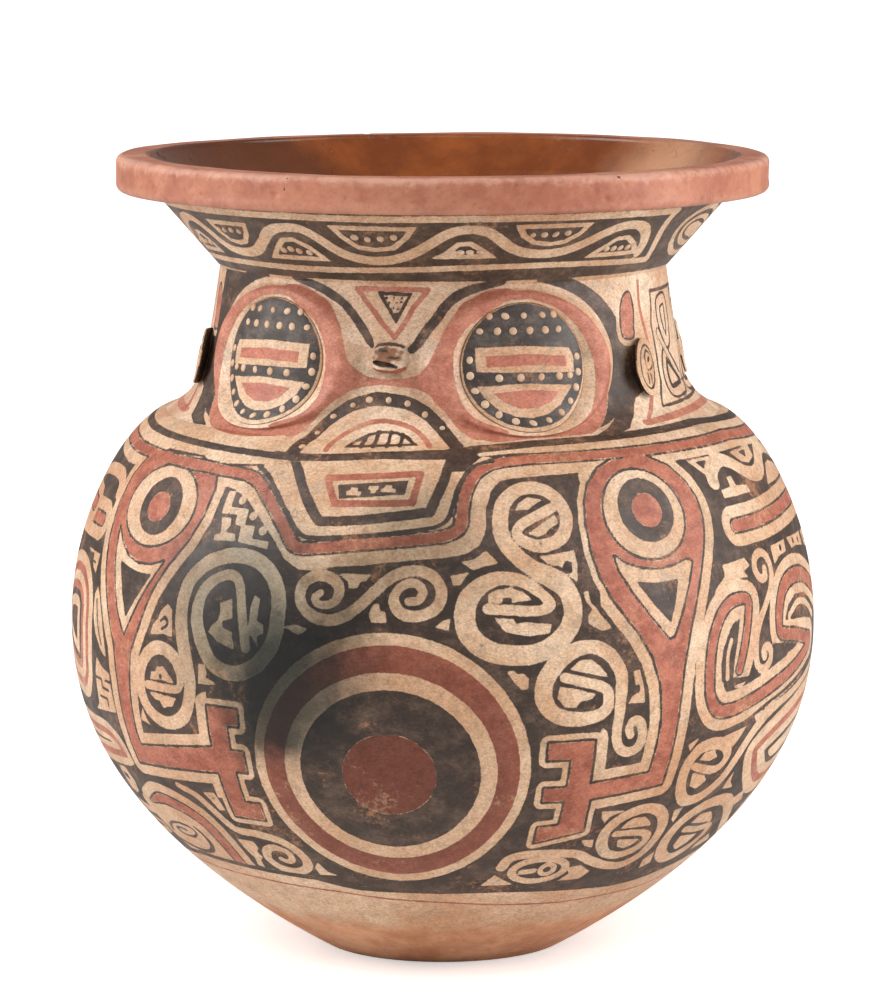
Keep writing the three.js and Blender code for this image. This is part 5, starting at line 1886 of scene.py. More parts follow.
class SharedEffects:
    """The effects that all the pot's finishes use, each built once as a node group.

    Of the capitals, EDGE_BLUR is in millimetres, PIT_RIM is a share of a pit's cell and CRACK_WIDTH a
    share of a noise's range. All others are scales of noises, in waves to the metre.
    """

    SLOW_EDGE = 130
    QUICK_EDGE = 480
    EDGE_BLUR = 0.28
    MOTTLING = 21
    SPECKS = 520
    PIT_CELLS = 170
    PIT_BEND = 300
    PIT_RIM = 0.07
    CRACKS = 15
    CRACK_WIDTH = 0.004
    GRAIN = 1500
    DIMPLES = 75
    RUBBED = 26
    RUBBED_GRAIN = 330

    def __init__(self) -> None:
        """Builds the groups."""
        self.brushed_edge = self.build_brushed_edge()
        self.fired_skin = self.build_fired_skin()
        self.rubbed_wear = self.build_rubbed_wear()

    def build_brushed_edge(self) -> bpy.types.NodeTree:
        """Turns a distance in millimetres into a mask with the uneven edge of a loaded brush."""
        tree, kit = new_group("brushed_edge", {"Distance": 0.0, "Wander": 0.5}, {"Mask": "NodeSocketFloat"})
        given = kit.add("NodeGroupInput")
        place = kit.place()
        slow = kit.times(kit.wander(place, self.SLOW_EDGE, 2), 2.0)
        quick = kit.times(kit.wander(place, self.QUICK_EDGE, 5, 0.78), 3.2)
        gap = kit.plus(given.outputs["Distance"], kit.times(kit.plus(slow, quick), given.outputs["Wander"]))
        mask = kit.span(gap, -self.EDGE_BLUR, self.EDGE_BLUR, 1.0, 0.0)
        kit.add("NodeGroupOutput", {"Mask": mask})
        return tree

    def build_fired_skin(self) -> bpy.types.NodeTree:
        """The low-fired surface: mottling, fine specks, pits and its height."""
        outputs = dict.fromkeys(("Mottle", "Specks", "Pits", "Height"), "NodeSocketFloat")
        tree, kit = new_group("fired_skin", {"Pitting": 0.5, "Grain": 0.5}, outputs)
        given = kit.add("NodeGroupInput")
        place = kit.place()
        mottle = kit.span(kit.noise(place, self.MOTTLING, 6, 0.66), 0.34, 0.66)
        specks = kit.span(kit.noise(place, self.SPECKS, 5, 0.75), 0.56, 0.68)
        pits = self.pits(kit, place, given.outputs["Pitting"])
        cracks = self.hairlines(kit, place, self.CRACKS, self.CRACK_WIDTH)
        pits = kit.math("MAXIMUM", pits, kit.times(cracks, 0.45))
        grain = kit.times(kit.noise(place, self.GRAIN, 3, 0.7), given.outputs["Grain"])
        height = kit.minus(kit.times(grain, 0.35), pits)
        height = kit.plus(height, kit.times(kit.noise(place, self.DIMPLES, 4, 0.6), 0.5))
        kit.add("NodeGroupOutput", {"Mottle": mottle, "Specks": specks, "Pits": pits, "Height": height})
        return tree

    def pits(self, kit: NodeKit, place: bpy.types.NodeSocket,
             pitting: bpy.types.NodeSocket) -> bpy.types.NodeSocket:
        """Small bent pits of many sizes, in the few cells that chance picks out."""
        bend = kit.add("ShaderNodeTexNoise", {"Vector": place, "Scale": self.PIT_BEND,
                                              "Detail": 2}).outputs["Color"]
        bend = kit.add("ShaderNodeVectorMath", {0: bend, 3: 0.004}, operation="SCALE").outputs[0]
        bent = kit.add("ShaderNodeVectorMath", {0: place, 1: bend}, operation="ADD").outputs[0]
        cells = kit.add("ShaderNodeTexVoronoi", {"Vector": bent, "Scale": self.PIT_CELLS, "Randomness": 1.0})
        chance = kit.add("ShaderNodeSeparateColor", {0: cells.outputs["Color"]}).outputs[0]
        size = kit.span(chance, kit.minus(1.0, kit.times(pitting, 0.16)), 1.0, 0.0, 0.2, smooth=False)
        pits = kit.span(kit.minus(cells.outputs["Distance"], size), -self.PIT_RIM, 0.0, 1.0, 0.0)
        return kit.times(pits, kit.math("GREATER_THAN", size, 0.02))

    def hairlines(self, kit: NodeKit, place: bpy.types.NodeSocket, scale: float,
                  width: float) -> bpy.types.NodeSocket:
        """Broken hairlines that wander over the surface, as fine cracks and scratches do."""
        level = kit.math("ABSOLUTE", kit.wander(place, scale, 5, 0.6))
        lines = kit.span(level, 0.0, width, 1.0, 0.0)
        return kit.times(lines, kit.span(kit.noise(place, scale * 0.4, 3), 0.54, 0.6))

    def build_rubbed_wear(self) -> bpy.types.NodeTree:
        """Patches where handling has thinned the slip, broken up by fine scratches."""
        tree, kit = new_group("rubbed_wear", {"Amount": 0.3}, {"Mask": "NodeSocketFloat"})
        given = kit.add("NodeGroupInput")
        patches = kit.noise(kit.place(), self.RUBBED, 4, 0.62)
        chips = kit.noise(kit.place(), self.RUBBED_GRAIN, 5, 0.75)
        both = kit.plus(kit.times(patches, 0.55), kit.times(chips, 0.45))
        level = kit.minus(0.67, kit.times(given.outputs["Amount"], 0.3))
        mask = kit.span(both, level, kit.plus(level, 0.1))
        kit.add("NodeGroupOutput", {"Mask": mask})
        return tree


@dataclass(frozen=True)
class SlipFinish:
    """A painted finish: its three slips and the clay under them, and how worn they are.

    Of the capitals, SHEEN to HAND_WEAR are scales of noises, in waves to the metre. The places after them
    are a radius and a level in millimetres, and an angle in degrees. A cloud has its reach in metres and its
    tint as well. RIM_EDGE and RUBBED_REACH are in metres, and each rubbed corner is a level in metres and
    how strongly it is rubbed.
    """

    cream: str = "#dfc0a2"
    cream_warm: str = "#c59b78"
    red: str = "#b56f57"
    red_deep: str = "#96523f"
    belly_red: str = "#5e2c1c"
    black: str = "#392b23"
    black_thin: str = "#675143"
    clay: str = "#dba783"
    clay_dark: str = "#b97e59"
    inside: str = "#89481f"
    inside_dark: str = "#6c3516"
    inside_shadow: str = "#4a2816"
    inside_highlight: str = "#cf9b78"
    ash: str = "#ad9a84"
    speck: str = "#85614a"
    smoke: str = "#8e9d9d"
    soot: str = "#56656a"
    haze: str = "#b3b3ab"
    pit: str = "#4a342a"
    clay_speck: str = "#7a4a34"
    rubbed: str = "#dcb09a"
    roughness: float = 0.5
    wear: float = 0.42
    pitting: float = 0.5
    pit_shade: float = 0.5
    grain: float = 0.6
    bump: float = 0.7
    painted: bool = True
    worn_edge: bool = False

    SHEEN = 60
    STREAKS = 60
    STAINS = 9
    ASHES = 52
    SOIL = 190
    BRISTLES = 560
    SHADOW_EDGE = 16
    SMOKE_EDGE = 26
    RAGGED_SLIP = 38
    HAND_WEAR = (14, 150)
    SHADED_LIP = (165.0, 445.0, -112.0)
    LIT_LIP = (165.0, 450.0, 134.0)
    BELLY_CIRCLE = (214.0, 141.5)
    CIRCLE_ANGLE = 4.3
    CLOUDS = (
        (212.0, 229.0, -20.0, 0.078, "smoke"),
        (222.0, 194.0, -10.0, 0.064, "soot"),
        (221.0, 186.0, -14.0, 0.05, "smoke"),
        (213.0, 252.0, -1.0, 0.042, "haze"),
        (202.0, 272.0, 9.0, 0.05, "haze"),
    )
    RIM_EDGE = 0.1936
    RUBBED_CORNERS = ((0.4775, 0.4), (0.4605, 0.15))
    RUBBED_REACH = 0.0046

    def build(self, name: str, shared: SharedEffects) -> bpy.types.Material:
        """Makes the material.

        Args:
            name: its name.
            shared: the groups that the finishes share.

        Returns:
            The material.
        """
        material = bpy.data.materials.new(name)
        material.use_nodes = True
        kit = NodeKit(material.node_tree)
        skin = kit.group(shared.fired_skin, {"Pitting": self.pitting, "Grain": self.grain})
        worn = kit.group(shared.rubbed_wear, {"Amount": self.wear})
        rough = kit.span(kit.noise(kit.place(), self.SHEEN, 4), 0.3, 0.7, self.roughness - 0.07,
                         self.roughness + 0.1)
        rough = kit.plus(rough, kit.times(skin.outputs["Pits"], 0.25))
        paint = self.bare_clay(kit, skin)
        height = skin.outputs["Height"]
        if self.painted:
            masks = {name: self.brushed(kit, shared, name) for name in (BLACK_FIELD, RED_FIELD)}
            bare = self.bare_share(kit)
            paint = kit.mix(bare, self.paint(kit, skin, worn, masks), paint)
            rough = kit.plus(rough, kit.times(bare, 0.1))
            layer = kit.times(kit.math("MAXIMUM", masks[BLACK_FIELD], masks[RED_FIELD]), 0.3)
            height = kit.plus(height, layer)
        lining = kit.span(kit.field(BARE_FIELD), BARE_CLAY + 0.3, LINING - 0.3)
        paint = kit.mix(lining, paint, self.lining(kit, skin))
        rough = kit.minus(rough, kit.times(lining, 0.26))
        if self.worn_edge:
            paint = self.pale_edge(kit, paint)
        paint = kit.mix(kit.times(skin.outputs["Pits"], self.pit_shade), paint, colour(self.pit))
        bump = kit.add("ShaderNodeBump", {"Strength": self.bump, "Distance": 0.0006, "Height": height})
        shader = kit.add("ShaderNodeBsdfPrincipled", {"Base Color": paint, "Roughness": rough,
                                                      "Normal": bump.outputs[0], "Specular IOR Level": 0.32})
        kit.add("ShaderNodeOutputMaterial", {"Surface": shader.outputs[0]})
        return material

    def lining(self, kit: NodeKit, skin: bpy.types.Node) -> bpy.types.NodeSocket:
        """The brown inside, with a painted shadow on one side of the mouth and a painted highlight on the
        other.
        """
        brown = kit.mix(skin.outputs["Mottle"], colour(self.inside), colour(self.inside_dark))
        wander = kit.times(kit.wander(kit.place(), self.SHADOW_EDGE, 6, 0.66), 0.05)
        shaded_side = kit.plus(self.distance_from(kit, *self.SHADED_LIP), wander)
        rubbed = kit.plus(self.distance_from(kit, *self.LIT_LIP), wander)
        # painted shadow: the inside wall left of the mouth is darkened to the shade that the lamps leave
        # there
        brown = kit.mix(kit.span(shaded_side, 0.07, 0.1, 0.7, 0.0), brown, colour(self.inside_shadow))
        # painted highlight: the pale patch on the inside wall right of the mouth stands for a lamp's
        # reflection
        return kit.mix(kit.span(rubbed, 0.005, 0.07, 0.75, 0.0), brown, colour(self.inside_highlight))

    def brushed(self, kit: NodeKit, shared: SharedEffects, field_name: str) -> bpy.types.NodeSocket:
        """The mask of one slip, from its distance kept on the mesh."""
        return kit.group(shared.brushed_edge, {"Distance": kit.field(field_name)}).outputs["Mask"]

    def bare_share(self, kit: NodeKit) -> bpy.types.NodeSocket:
        """How far the clay shows through the slip, with a ragged edge."""
        ragged = kit.times(kit.wander(kit.place(), self.RAGGED_SLIP, 4), 0.7)
        return kit.span(kit.plus(kit.field(BARE_FIELD), ragged), 0.25, 0.75)

    def paint(self, kit: NodeKit, skin: bpy.types.Node, worn: bpy.types.Node,
              masks: dict[str, bpy.types.NodeSocket]) -> bpy.types.NodeSocket:
        """The three slips over each other, with brush streaks, thin places, smoke, and painted shade towards
        the middle of each belly circle.
        """
        streaks = kit.noise(kit.place((1.0, 1.0, 1.5)), self.STREAKS, 7, 0.74)
        stains = kit.span(kit.noise(kit.place(), self.STAINS, 5, 0.6), 0.45, 0.7, 0.0, 0.5)
        cream = kit.mix(skin.outputs["Mottle"], colour(self.cream), colour(self.cream_warm))
        cream = kit.mix(stains, cream, colour(self.clay_dark))
        ashen = kit.span(kit.noise(kit.place(), self.ASHES, 7, 0.74), 0.5, 0.68, 0.0, 0.6)
        cream = kit.mix(ashen, cream, colour(self.ash))
        cream = kit.mix(kit.times(skin.outputs["Specks"], 0.7), cream, colour(self.speck))
        red = kit.mix(kit.span(streaks, 0.36, 0.64), colour(self.red), colour(self.red_deep))
        # painted shade: the cream and red darken towards each belly circle's middle, where the lamps leave
        # it dim
        deep = self.circle_shade(kit)
        cream = kit.mix(kit.times(deep, 0.6), cream, colour(self.cream_warm))
        red = kit.mix(deep, red, colour(self.belly_red))
        red = kit.mix(kit.times(worn.outputs["Mask"], 0.5), red, colour(self.cream_warm))
        black = kit.mix(kit.span(streaks, 0.42, 0.74), colour(self.black), colour(self.black_thin))
        black = kit.mix(kit.times(worn.outputs["Mask"], 0.6), black, colour(self.clay_dark))
        paint = kit.mix(masks[RED_FIELD], cream, red)
        paint = kit.mix(masks[BLACK_FIELD], paint, black)
        paint = self.soiled(kit, paint, 0.7)
        strokes = kit.noise(kit.place((1.0, 1.0, 1.8)), self.BRISTLES, 3, 0.72)
        paint = kit.mix(1.0, paint, kit.span(strokes, 0.36, 0.64, 0.81, 1.14), "MULTIPLY")
        return self.smoked(kit, paint)

    def distance_from(self, kit: NodeKit, radius: float, level: float,
                      degrees: float) -> bpy.types.NodeSocket:
        """Distance in metres from a place on the pot."""
        middle = ring_points(np.array(radius), np.array(level), np.array(degrees)) * MM
        node = kit.add("ShaderNodeVectorMath", {0: kit.place(), 1: tuple(middle)}, operation="DISTANCE")
        return node.outputs["Value"]

    def circle_shade(self, kit: NodeKit) -> bpy.types.NodeSocket:
        """How close to the middle of a great belly circle a place is, where the slips are darkened as
        painted shade.
        """
        front, back = (self.distance_from(kit, *self.BELLY_CIRCLE, self.CIRCLE_ANGLE + facing.value)
                       for facing in Facing)
        return kit.span(kit.math("MINIMUM", front, back), 0.03, 0.13, 0.85, 0.0)

    def smoked(self, kit: NodeKit, paint: bpy.types.NodeSocket) -> bpy.types.NodeSocket:
        """The grey clouds that the fire left round the big spiral and under the mouth panel."""
        wander = kit.wander(kit.place(), self.SMOKE_EDGE, 6, 0.66)
        for radius, level, degrees, reach, tint in self.CLOUDS:
            cloud = kit.plus(self.distance_from(kit, radius, level, degrees), kit.times(wander, 0.07))
            shade = kit.span(cloud, reach * 0.3, reach, 0.85, 0.0)
            paint = kit.mix(shade, paint, colour(getattr(self, tint)), "MULTIPLY")
        return paint

    def pale_edge(self, kit: NodeKit, paint: bpy.types.NodeSocket) -> bpy.types.NodeSocket:
        """Paler clay where hands and lids have rubbed the rim's upper and lower corners."""
        place = kit.add("ShaderNodeSeparateXYZ", {0: kit.place()})
        flat = kit.add("ShaderNodeCombineXYZ", {0: place.outputs[0], 1: place.outputs[1]}).outputs[0]
        outward = kit.minus(kit.length(flat), self.RIM_EDGE)
        broad, fine = self.HAND_WEAR
        uneven = kit.plus(kit.noise(kit.place(), broad, 3), kit.noise(kit.place(), fine, 5, 0.7))
        wander = kit.times(kit.minus(uneven, 1.0), 0.012)
        for level, strength in self.RUBBED_CORNERS:
            rise = kit.minus(place.outputs[2], level)
            corner = kit.add("ShaderNodeCombineXYZ", {0: outward, 1: rise}).outputs[0]
            rubbed = kit.span(kit.plus(kit.length(corner), wander), 0.0, self.RUBBED_REACH, strength, 0.0)
            paint = kit.mix(rubbed, paint, colour(self.rubbed))
        return paint

    def bare_clay(self, kit: NodeKit, skin: bpy.types.Node) -> bpy.types.NodeSocket:
        """The clay itself, where no slip covers it."""
        clay = kit.mix(skin.outputs["Mottle"], colour(self.clay), colour(self.clay_dark))
        clay = kit.mix(kit.times(skin.outputs["Specks"], 0.45), clay, colour(self.clay_speck))
        return self.soiled(kit, clay, 0.8)

    def soiled(self, kit: NodeKit, paint: bpy.types.NodeSocket, darkest: float) -> bpy.types.NodeSocket:
        """A colour with the fine dirt that sits in its grain."""
        dirt = kit.span(kit.noise(kit.place(), self.SOIL, 7, 0.8), 0.3, 0.56, darkest, 1.0)
        return kit.mix(1.0, paint, dirt, "MULTIPLY")


@dataclass
class RaisedDots:
    """Dots of thick cream slip that stand on the painting, set out by a geometry-node tree."""

    name: str
    slot: str
    radius: float
    rise: float
    seed: int

    def tree(self) -> bpy.types.NodeTree:
        """The tree: a flattened ball on each point, turned to lie on the face and varied a little."""
        tree = bpy.data.node_groups.new("raised_dots", "GeometryNodeTree")
        face = tree.interface
        face.new_socket("Geometry", in_out="INPUT", socket_type="NodeSocketGeometry")
        for label in ("Radius", "Rise"):
            face.new_socket(label, in_out="INPUT", socket_type="NodeSocketFloat")
        face.new_socket("Seed", in_out="INPUT", socket_type="NodeSocketInt")
        face.new_socket("Finish", in_out="INPUT", socket_type="NodeSocketMaterial")
        face.new_socket("Geometry", in_out="OUTPUT", socket_type="NodeSocketGeometry")
        kit = NodeKit(tree)
        given = kit.add("NodeGroupInput")
        ball = kit.add("GeometryNodeMeshUVSphere", {"Segments": 14, "Rings": 7, "Radius": 1.0})
        size = kit.add("ShaderNodeCombineXYZ", {0: given.outputs["Radius"], 1: given.outputs["Radius"],
                                                2: given.outputs["Rise"]})
        flat = kit.add("GeometryNodeTransform", {"Geometry": ball.outputs[0], "Scale": size.outputs[0]})
        outward = kit.add("GeometryNodeInputNamedAttribute", {"Name": "outward"}, data_type="FLOAT_VECTOR")
        lie = kit.add("FunctionNodeAlignRotationToVector", {"Vector": outward.outputs[0]}, axis="Z")
        vary = kit.add("FunctionNodeRandomValue", {0: (0.8, 0.8, 0.85), 1: (1.18, 1.12, 1.1),
                                                   "Seed": given.outputs["Seed"]}, data_type="FLOAT_VECTOR")
        spread = kit.add("GeometryNodeInstanceOnPoints", {"Points": given.outputs["Geometry"],
                                                          "Instance": flat.outputs[0],
                                                          "Rotation": lie.outputs[0],
                                                          "Scale": vary.outputs[0]})
        real = kit.add("GeometryNodeRealizeInstances", {0: spread.outputs[0]})
        smooth = kit.add("GeometryNodeSetShadeSmooth", {0: real.outputs[0]})
        finish = kit.add("GeometryNodeSetMaterial", {"Geometry": smooth.outputs[0],
                                                     "Material": given.outputs["Finish"]})
        kit.add("NodeGroupOutput", {0: finish.outputs[0]})
        return tree

    def build(self, places: np.ndarray, outward: np.ndarray, finish: bpy.types.Material) -> bpy.types.Object:
        """Makes the dots at the given points.

        Args:
            places: the points, in millimetres.
            outward: the way that the face looks at each.
            finish: their material.

        Returns:
            One plain mesh object.
        """
        source = bpy.data.meshes.new(self.name + "_places")
        source.from_pydata([tuple(place * MM) for place in places], [], [])
        source.attributes.new("outward", "FLOAT_VECTOR", "POINT").data.foreach_set(
            "vector", outward.astype(np.float32).ravel())
        holder = bpy.data.objects.new(self.name + "_places", source)
        bpy.context.scene.collection.objects.link(holder)
        tree = self.tree()
        values = {"Radius": self.radius * MM, "Rise": self.rise * MM, "Seed": self.seed, "Finish": finish}
        modifier = holder.modifiers.new("dots", "NODES")
        modifier.node_group = tree
        for item in tree.interface.items_tree:
            if item.in_out == "INPUT" and item.name in values:
                modifier[item.identifier] = values[item.name]
        bpy.context.view_layer.update()
        evaluated = holder.evaluated_get(bpy.context.evaluated_depsgraph_get())
        mesh = bpy.data.meshes.new_from_object(evaluated)
        holder.modifiers.clear()
        bpy.data.objects.remove(holder)
        piece = bpy.data.objects.new(self.name, mesh)
        mesh.name = self.name
        bpy.context.scene.collection.objects.link(piece)
        return piece


@dataclass
class Urn:
    """The whole pot: its stages, its two faces and the raised dots, each riding on the one body."""

    shared: SharedEffects
    pieces: int = 0

    def finishes(self) -> dict[str, bpy.types.Material]:
        """The materials, by the slot that each belongs to."""
        painted = SlipFinish()
        face = SlipFinish(cream="#e8ceb3", cream_warm="#cba585", red="#c08069", red_deep="#a86450",
                          black="#42342c", black_thin="#725c4d")
        kinds = {
            "base_clay": SlipFinish(painted=False, pitting=0.7),
            "rim_clay": SlipFinish(painted=False, clay="#b97b61", clay_dark="#9f5f49", roughness=0.48,
                                   pitting=1.6, pit_shade=0.95, grain=0.8, bump=0.6, worn_edge=True),
            "dot_slip": SlipFinish(painted=False, clay="#d8bb9f", clay_dark="#bd9676", pitting=0.2),
            "upper_shoulder_paint": SlipFinish(black="#403129", black_thin="#6e5748"),
            "collar_paint": SlipFinish(black="#46372e", black_thin="#78604e"),
            "neck_paint": face,
            "eye_ring_paint": face,
            "eye_pellet_paint": SlipFinish(red="#bd7862", red_deep="#a6604e", black="#3f3733",
                                           black_thin="#6d6058",
                                           wear=0.3),
            "nose_paint": SlipFinish(cream=face.cream, cream_warm=face.cream_warm, red="#b0674f",
                                     clay="#94664b", clay_dark="#5f3d2a", pitting=1.0, bump=0.9),
        }
        for slot in ("lower_paint", "bowl_paint", "belly_paint", "shoulder_paint", "ear_paint"):
            kinds[slot] = painted
        return {slot: finish.build(slot, self.shared) for slot, finish in kinds.items()}

    def walls(self) -> list:
        """The stages of the wall from the foot to the mouth."""
        return [
            BaseSlab(),
            WallStage("lower_wall", "lower_paint", 18, 62, 960),
            WallStage("bowl_wall", "bowl_paint", 62, 122, 1200),
            WallStage("belly_wall", "belly_paint", 122, 200, 1180),
            WallStage("shoulder_wall", "shoulder_paint", 200, 268, 1220),
            WallStage("upper_shoulder", "upper_shoulder_paint", 268, 326, 1040),
            WallStage("neck_wall", "neck_paint", 326, 413, 880),
            WallStage("flared_collar", "collar_paint", 413, 458, 960),
            RimBand(),
        ]

    def features(self) -> list:
        """What is modelled on each face: the nose, then an eye and an ear for each side."""
        found = []
        for facing in Facing:
            found.append(Nose(facing))
            found += [kind(facing, hand) for hand in Hand for kind in (EyeRing, EyePellet, Ear)]
        return found

    def build(self) -> None:
        """Builds and dresses every piece in order."""
        materials = self.finishes()
        for part in self.walls() + self.features():
            self.dress(part.build(), part.slot, materials[part.slot], part.name)
        for dots, places, outward, slot in DotSites().all_sets():
            piece = dots.build(places, outward, materials["dot_slip"])
            self.dress(piece, slot, materials["dot_slip"])

    def dress(self, piece: bpy.types.Object, slot: str, material: bpy.types.Material,
              node: Optional[str] = None) -> None:
        """Gives a piece its material, and ties it to the frame.

        Args:
            piece: the finished mesh object.
            slot: the record's slot that it takes its finish from.
            material: that finish.
            node: the solid that it stands for, if any.
        """
        piece.data.materials.clear()
        piece.data.materials.append(material)
        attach(piece, "root")
        if node:
            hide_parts(node)
        self.pieces += 1
        LOG.info("%s: %d faces, slot %s", piece.name, len(piece.data.polygons), slot)


@dataclass
class DotSites:
    """Where the raised dots of slip stand, on the front and turned to the back."""

    pellet_rows: Sequence[tuple[float, Sequence[float]]] = (
        (29, (-20, -11, 0, 11.5, 19)),
        (20.5, (-26, -16, -7, 3, 12.5, 21)),
        (-6, (-16, -4, 8, 19, 26)),
    )
    arch: Points = ((-15, 322.3), (-14, 328.8), (-12.1, 337.5), (-8.1, 344), (-4.4, 347.3), (0.1, 347.5),
                    (4.5, 345.8), (8.5, 340), (12.3, 333))
    frieze: Points = ((-42.5, 441.5), (-40.5, 441.5), (-38, 442), (-35.5, 441.5), (-6, 442), (-3.3, 441),
                      (-0.5, 441.5), (2.3, 442.5), (31, 443.5), (33.5, 443.5), (36, 443.5), (38.7, 444),
                      (-25, 432), (-22.8, 433), (-20.8, 432), (-18.3, 431.3), (14.7, 433), (16.2, 433.5),
                      (18.2, 433.5), (20.4, 433.5), (51, 432.5), (53, 432.5), (55, 432.5), (57.3, 432.5),
                      (-59.6, 431.4), (-57.4, 431.6), (-55.2, 431.6), (-53, 431.4))
    rim_dots: int = 13
    rim_share: float = 0.87
    rim_turns: tuple[float, float] = (-188, 8)
    step: float = 0.2

    def all_sets(self) -> Iterator[tuple[RaisedDots, np.ndarray, np.ndarray, str]]:
        """Every set of dots, with its points, the way that they face, and its slot."""
        for facing in Facing:
            face = facing.name.lower()
            turned = float(facing.value)
            for hand in Hand:
                places, outward = self.on_pellet(facing, hand)
                name = f"{face}_eye_dots_{hand.name.lower()}"
                yield RaisedDots(name, "eye_pellet_paint", 2.2, 0.75, 5), places, outward, "eye_pellet_paint"
            for name, points, slot, size in ((f"{face}_mouth_dots", self.arch, "neck_paint", 2.0),
                                             (f"{face}_frieze_dots", self.frieze, "collar_paint", 2.3)):
                places, outward = self.on_wall(points, turned)
                yield RaisedDots(name, slot, size, 0.9, 9), places, outward, slot

    def on_wall(self, points: Points, turned: float) -> tuple[np.ndarray, np.ndarray]:
        """Points on the wall, and its outward direction at each."""
        given = np.array(points, float)
        degrees, level = given[:, 0] + turned, given[:, 1]
        radius = FORM.outer_radius(level) - FORM.sag(degrees, level)
        slope = FORM.outer_radius(level + 0.5) - FORM.outer_radius(level - 0.5)
        outward = ring_points(np.ones(len(level)), -slope, degrees)
        return ring_points(radius, level, degrees), outward / np.linalg.norm(outward, axis=1, keepdims=True)

    def on_pellet(self, facing: Facing, hand: Hand) -> tuple[np.ndarray, np.ndarray]:
        """Points on the disc in an eye, and its outward direction at each."""
        pellet = EyePellet(facing, hand)
        width, height = LAYOUT.pellet(pellet.site)
        spots = [(x, y) for y, row in self.pellet_rows for x in row]
        for turn in np.radians(np.linspace(*self.rim_turns, self.rim_dots)):
            spots.append((self.rim_share * width * math.cos(turn), self.rim_share * height * math.sin(turn)))
        local = np.array(spots)
        x, y = local[:, 0] * pellet.side, local[:, 1]
        points = self.pellet_points(pellet, x, y)
        ahead = self.pellet_points(pellet, x + self.step, y)
        above = self.pellet_points(pellet, x, y + self.step)
        outward = np.cross(ahead - points, above - points)
        return points, outward / np.linalg.norm(outward, axis=1, keepdims=True)

    def pellet_points(self, pellet: EyePellet, x: np.ndarray, y: np.ndarray) -> np.ndarray:
        """Points on the face of the disc from places across and up it."""
        site = pellet.site
        width, height = LAYOUT.pellet(site)
        middle = LAYOUT.eye(site)[0] * pellet.side
        proud = pellet.proud(np.hypot(x / width, y / height))
        return site.points(middle + x, site.middle - LAYOUT.pellet_drop + y, proud)


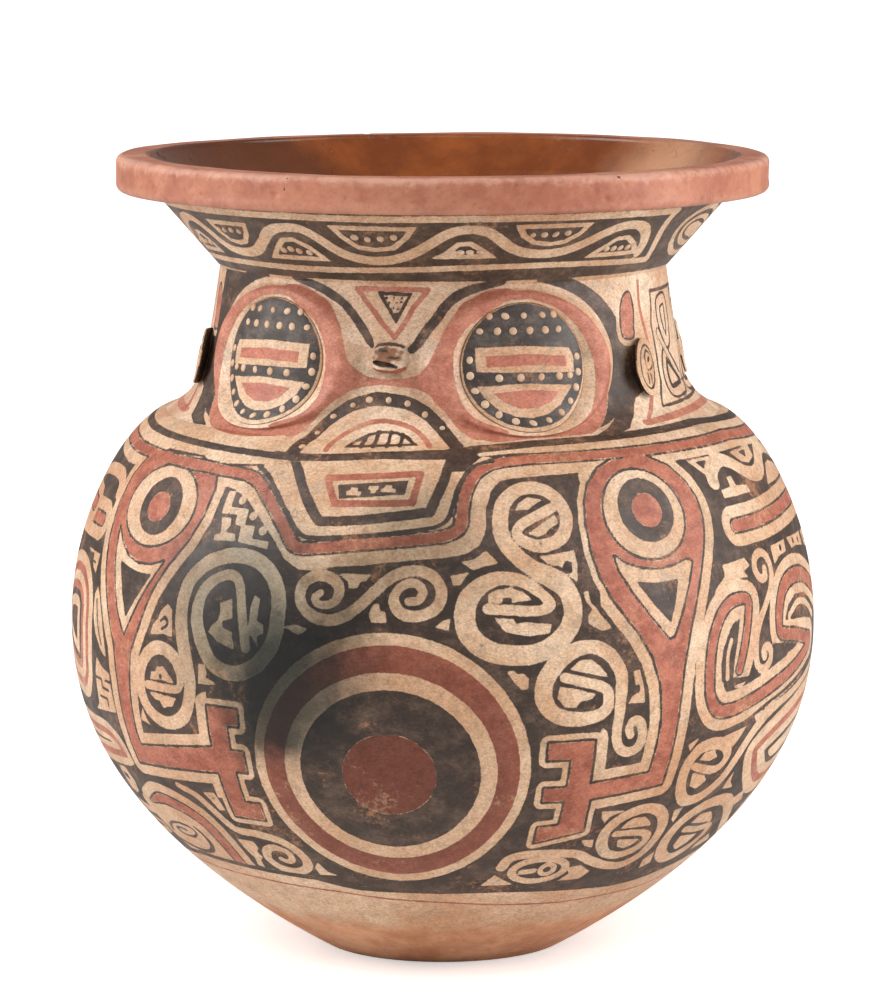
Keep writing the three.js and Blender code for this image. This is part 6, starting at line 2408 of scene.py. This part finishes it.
@dataclass
class Studio:
    """The pale floor and backdrop, the soft lamps, and the camera at the photo's angle."""

    azimuth: float = 12.5
    elevation: float = 8.2
    distance: float = 2.899
    lens: float = 196.66
    target_level: float = 0.269
    aside: float = -0.0033
    floor_size: float = 60.0
    floor_colour: str = "#f4f2ef"
    world_strength: float = 0.3
    lamp_target: float = 0.26
    sensor: float = 36.0
    far_end: float = 50.0
    lamps: Sequence[tuple] = (
        ("left_softbox", -68, 31, 1.9, (0.9, 1.6), 38.0),
        ("right_softbox", 88, 22, 1.9, (0.9, 1.6), 36.0),
        ("front_softbox", 14, 40, 2.6, (1.6, 1.2), 17.0),
    )

    def build(self) -> None:
        """Sets up the floor, lamps and camera."""
        self.floor()
        for lamp in self.lamps:
            self.lamp(*lamp)
        self.world()
        self.camera()
        bpy.context.scene.view_settings.view_transform = "Standard"

    def heading(self, azimuth: float, elevation: float) -> Vector:
        """Direction from the pot towards a place round it."""
        turn, rise = math.radians(azimuth), math.radians(elevation)
        return Vector((math.sin(turn) * math.cos(rise), -math.cos(turn) * math.cos(rise), math.sin(rise)))

    def floor(self) -> None:
        """A plain floor that curves up behind, white to the camera and pale to everything else."""
        mesh = bpy.data.meshes.new("floor")
        half = self.floor_size / 2
        mesh.from_pydata([(-half, -half, 0), (half, -half, 0), (half, half, 0), (-half, half, 0)], [],
                         [(0, 1, 2, 3)])
        floor = bpy.data.objects.new("floor", mesh)
        bpy.context.scene.collection.objects.link(floor)
        material = bpy.data.materials.new("floor_paper")
        material.use_nodes = True
        kit = NodeKit(material.node_tree)
        glow = kit.times(kit.seen(), kit.span(kit.length(kit.place()), 0.4, 2.2, 0.45, 1.0))
        paper = kit.add("ShaderNodeBsdfPrincipled",
                        {"Base Color": colour(self.floor_colour), "Roughness": 0.9,
                         "Emission Color": (1.0, 1.0, 1.0, 1.0),
                         "Emission Strength": glow})
        kit.add("ShaderNodeOutputMaterial", {"Surface": paper.outputs[0]})
        mesh.materials.append(material)

    def lamp(self, name: str, azimuth: float, elevation: float, away: float, size: tuple[float, float],
             power: float) -> None:
        """A soft oblong lamp that looks at the pot's middle."""
        data = bpy.data.lights.new(name, "AREA")
        data.shape = "RECTANGLE"
        data.size, data.size_y = size
        data.energy = power
        lamp = bpy.data.objects.new(name, data)
        direction = self.heading(azimuth, elevation)
        lamp.location = Vector((0, 0, self.lamp_target)) + direction * away
        lamp.rotation_euler = direction.to_track_quat("Z", "Y").to_euler()
        bpy.context.scene.collection.objects.link(lamp)

    def world(self) -> None:
        """An even pale room, white to the camera."""
        world = bpy.data.worlds.new("room")
        bpy.context.scene.world = world
        world.use_nodes = True
        kit = NodeKit(world.node_tree)
        strength = kit.plus(self.world_strength, kit.times(kit.seen(), 1.0 - self.world_strength))
        sky = kit.add("ShaderNodeBackground", {"Color": (1.0, 1.0, 1.0, 1.0), "Strength": strength})
        kit.add("ShaderNodeOutputWorld", {"Surface": sky.outputs[0]})

    def camera(self) -> None:
        """The camera at the photo's angle."""
        data = bpy.data.cameras.new("camera")
        data.sensor_fit = "HORIZONTAL"
        data.sensor_width = self.sensor
        data.lens = self.lens
        data.clip_end = self.far_end
        camera = bpy.data.objects.new("camera", data)
        direction = self.heading(self.azimuth, self.elevation)
        turn = math.radians(self.azimuth)
        target = Vector((math.cos(turn) * self.aside, math.sin(turn) * self.aside, self.target_level))
        camera.location = target + direction * self.distance
        camera.rotation_euler = direction.to_track_quat("Z", "Y").to_euler()
        bpy.context.scene.collection.objects.link(camera)
        bpy.context.scene.camera = camera


def main() -> None:
    """Builds the studio, then the pot on its frame."""
    logging.basicConfig(level=logging.INFO, format="%(name)s: %(message)s")
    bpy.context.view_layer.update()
    Studio().build()
    urn = Urn(SharedEffects())
    urn.build()
    bpy.context.view_layer.update()
    LOG.info("%d pieces built", urn.pieces)


if __name__ == "__main__":
    main()
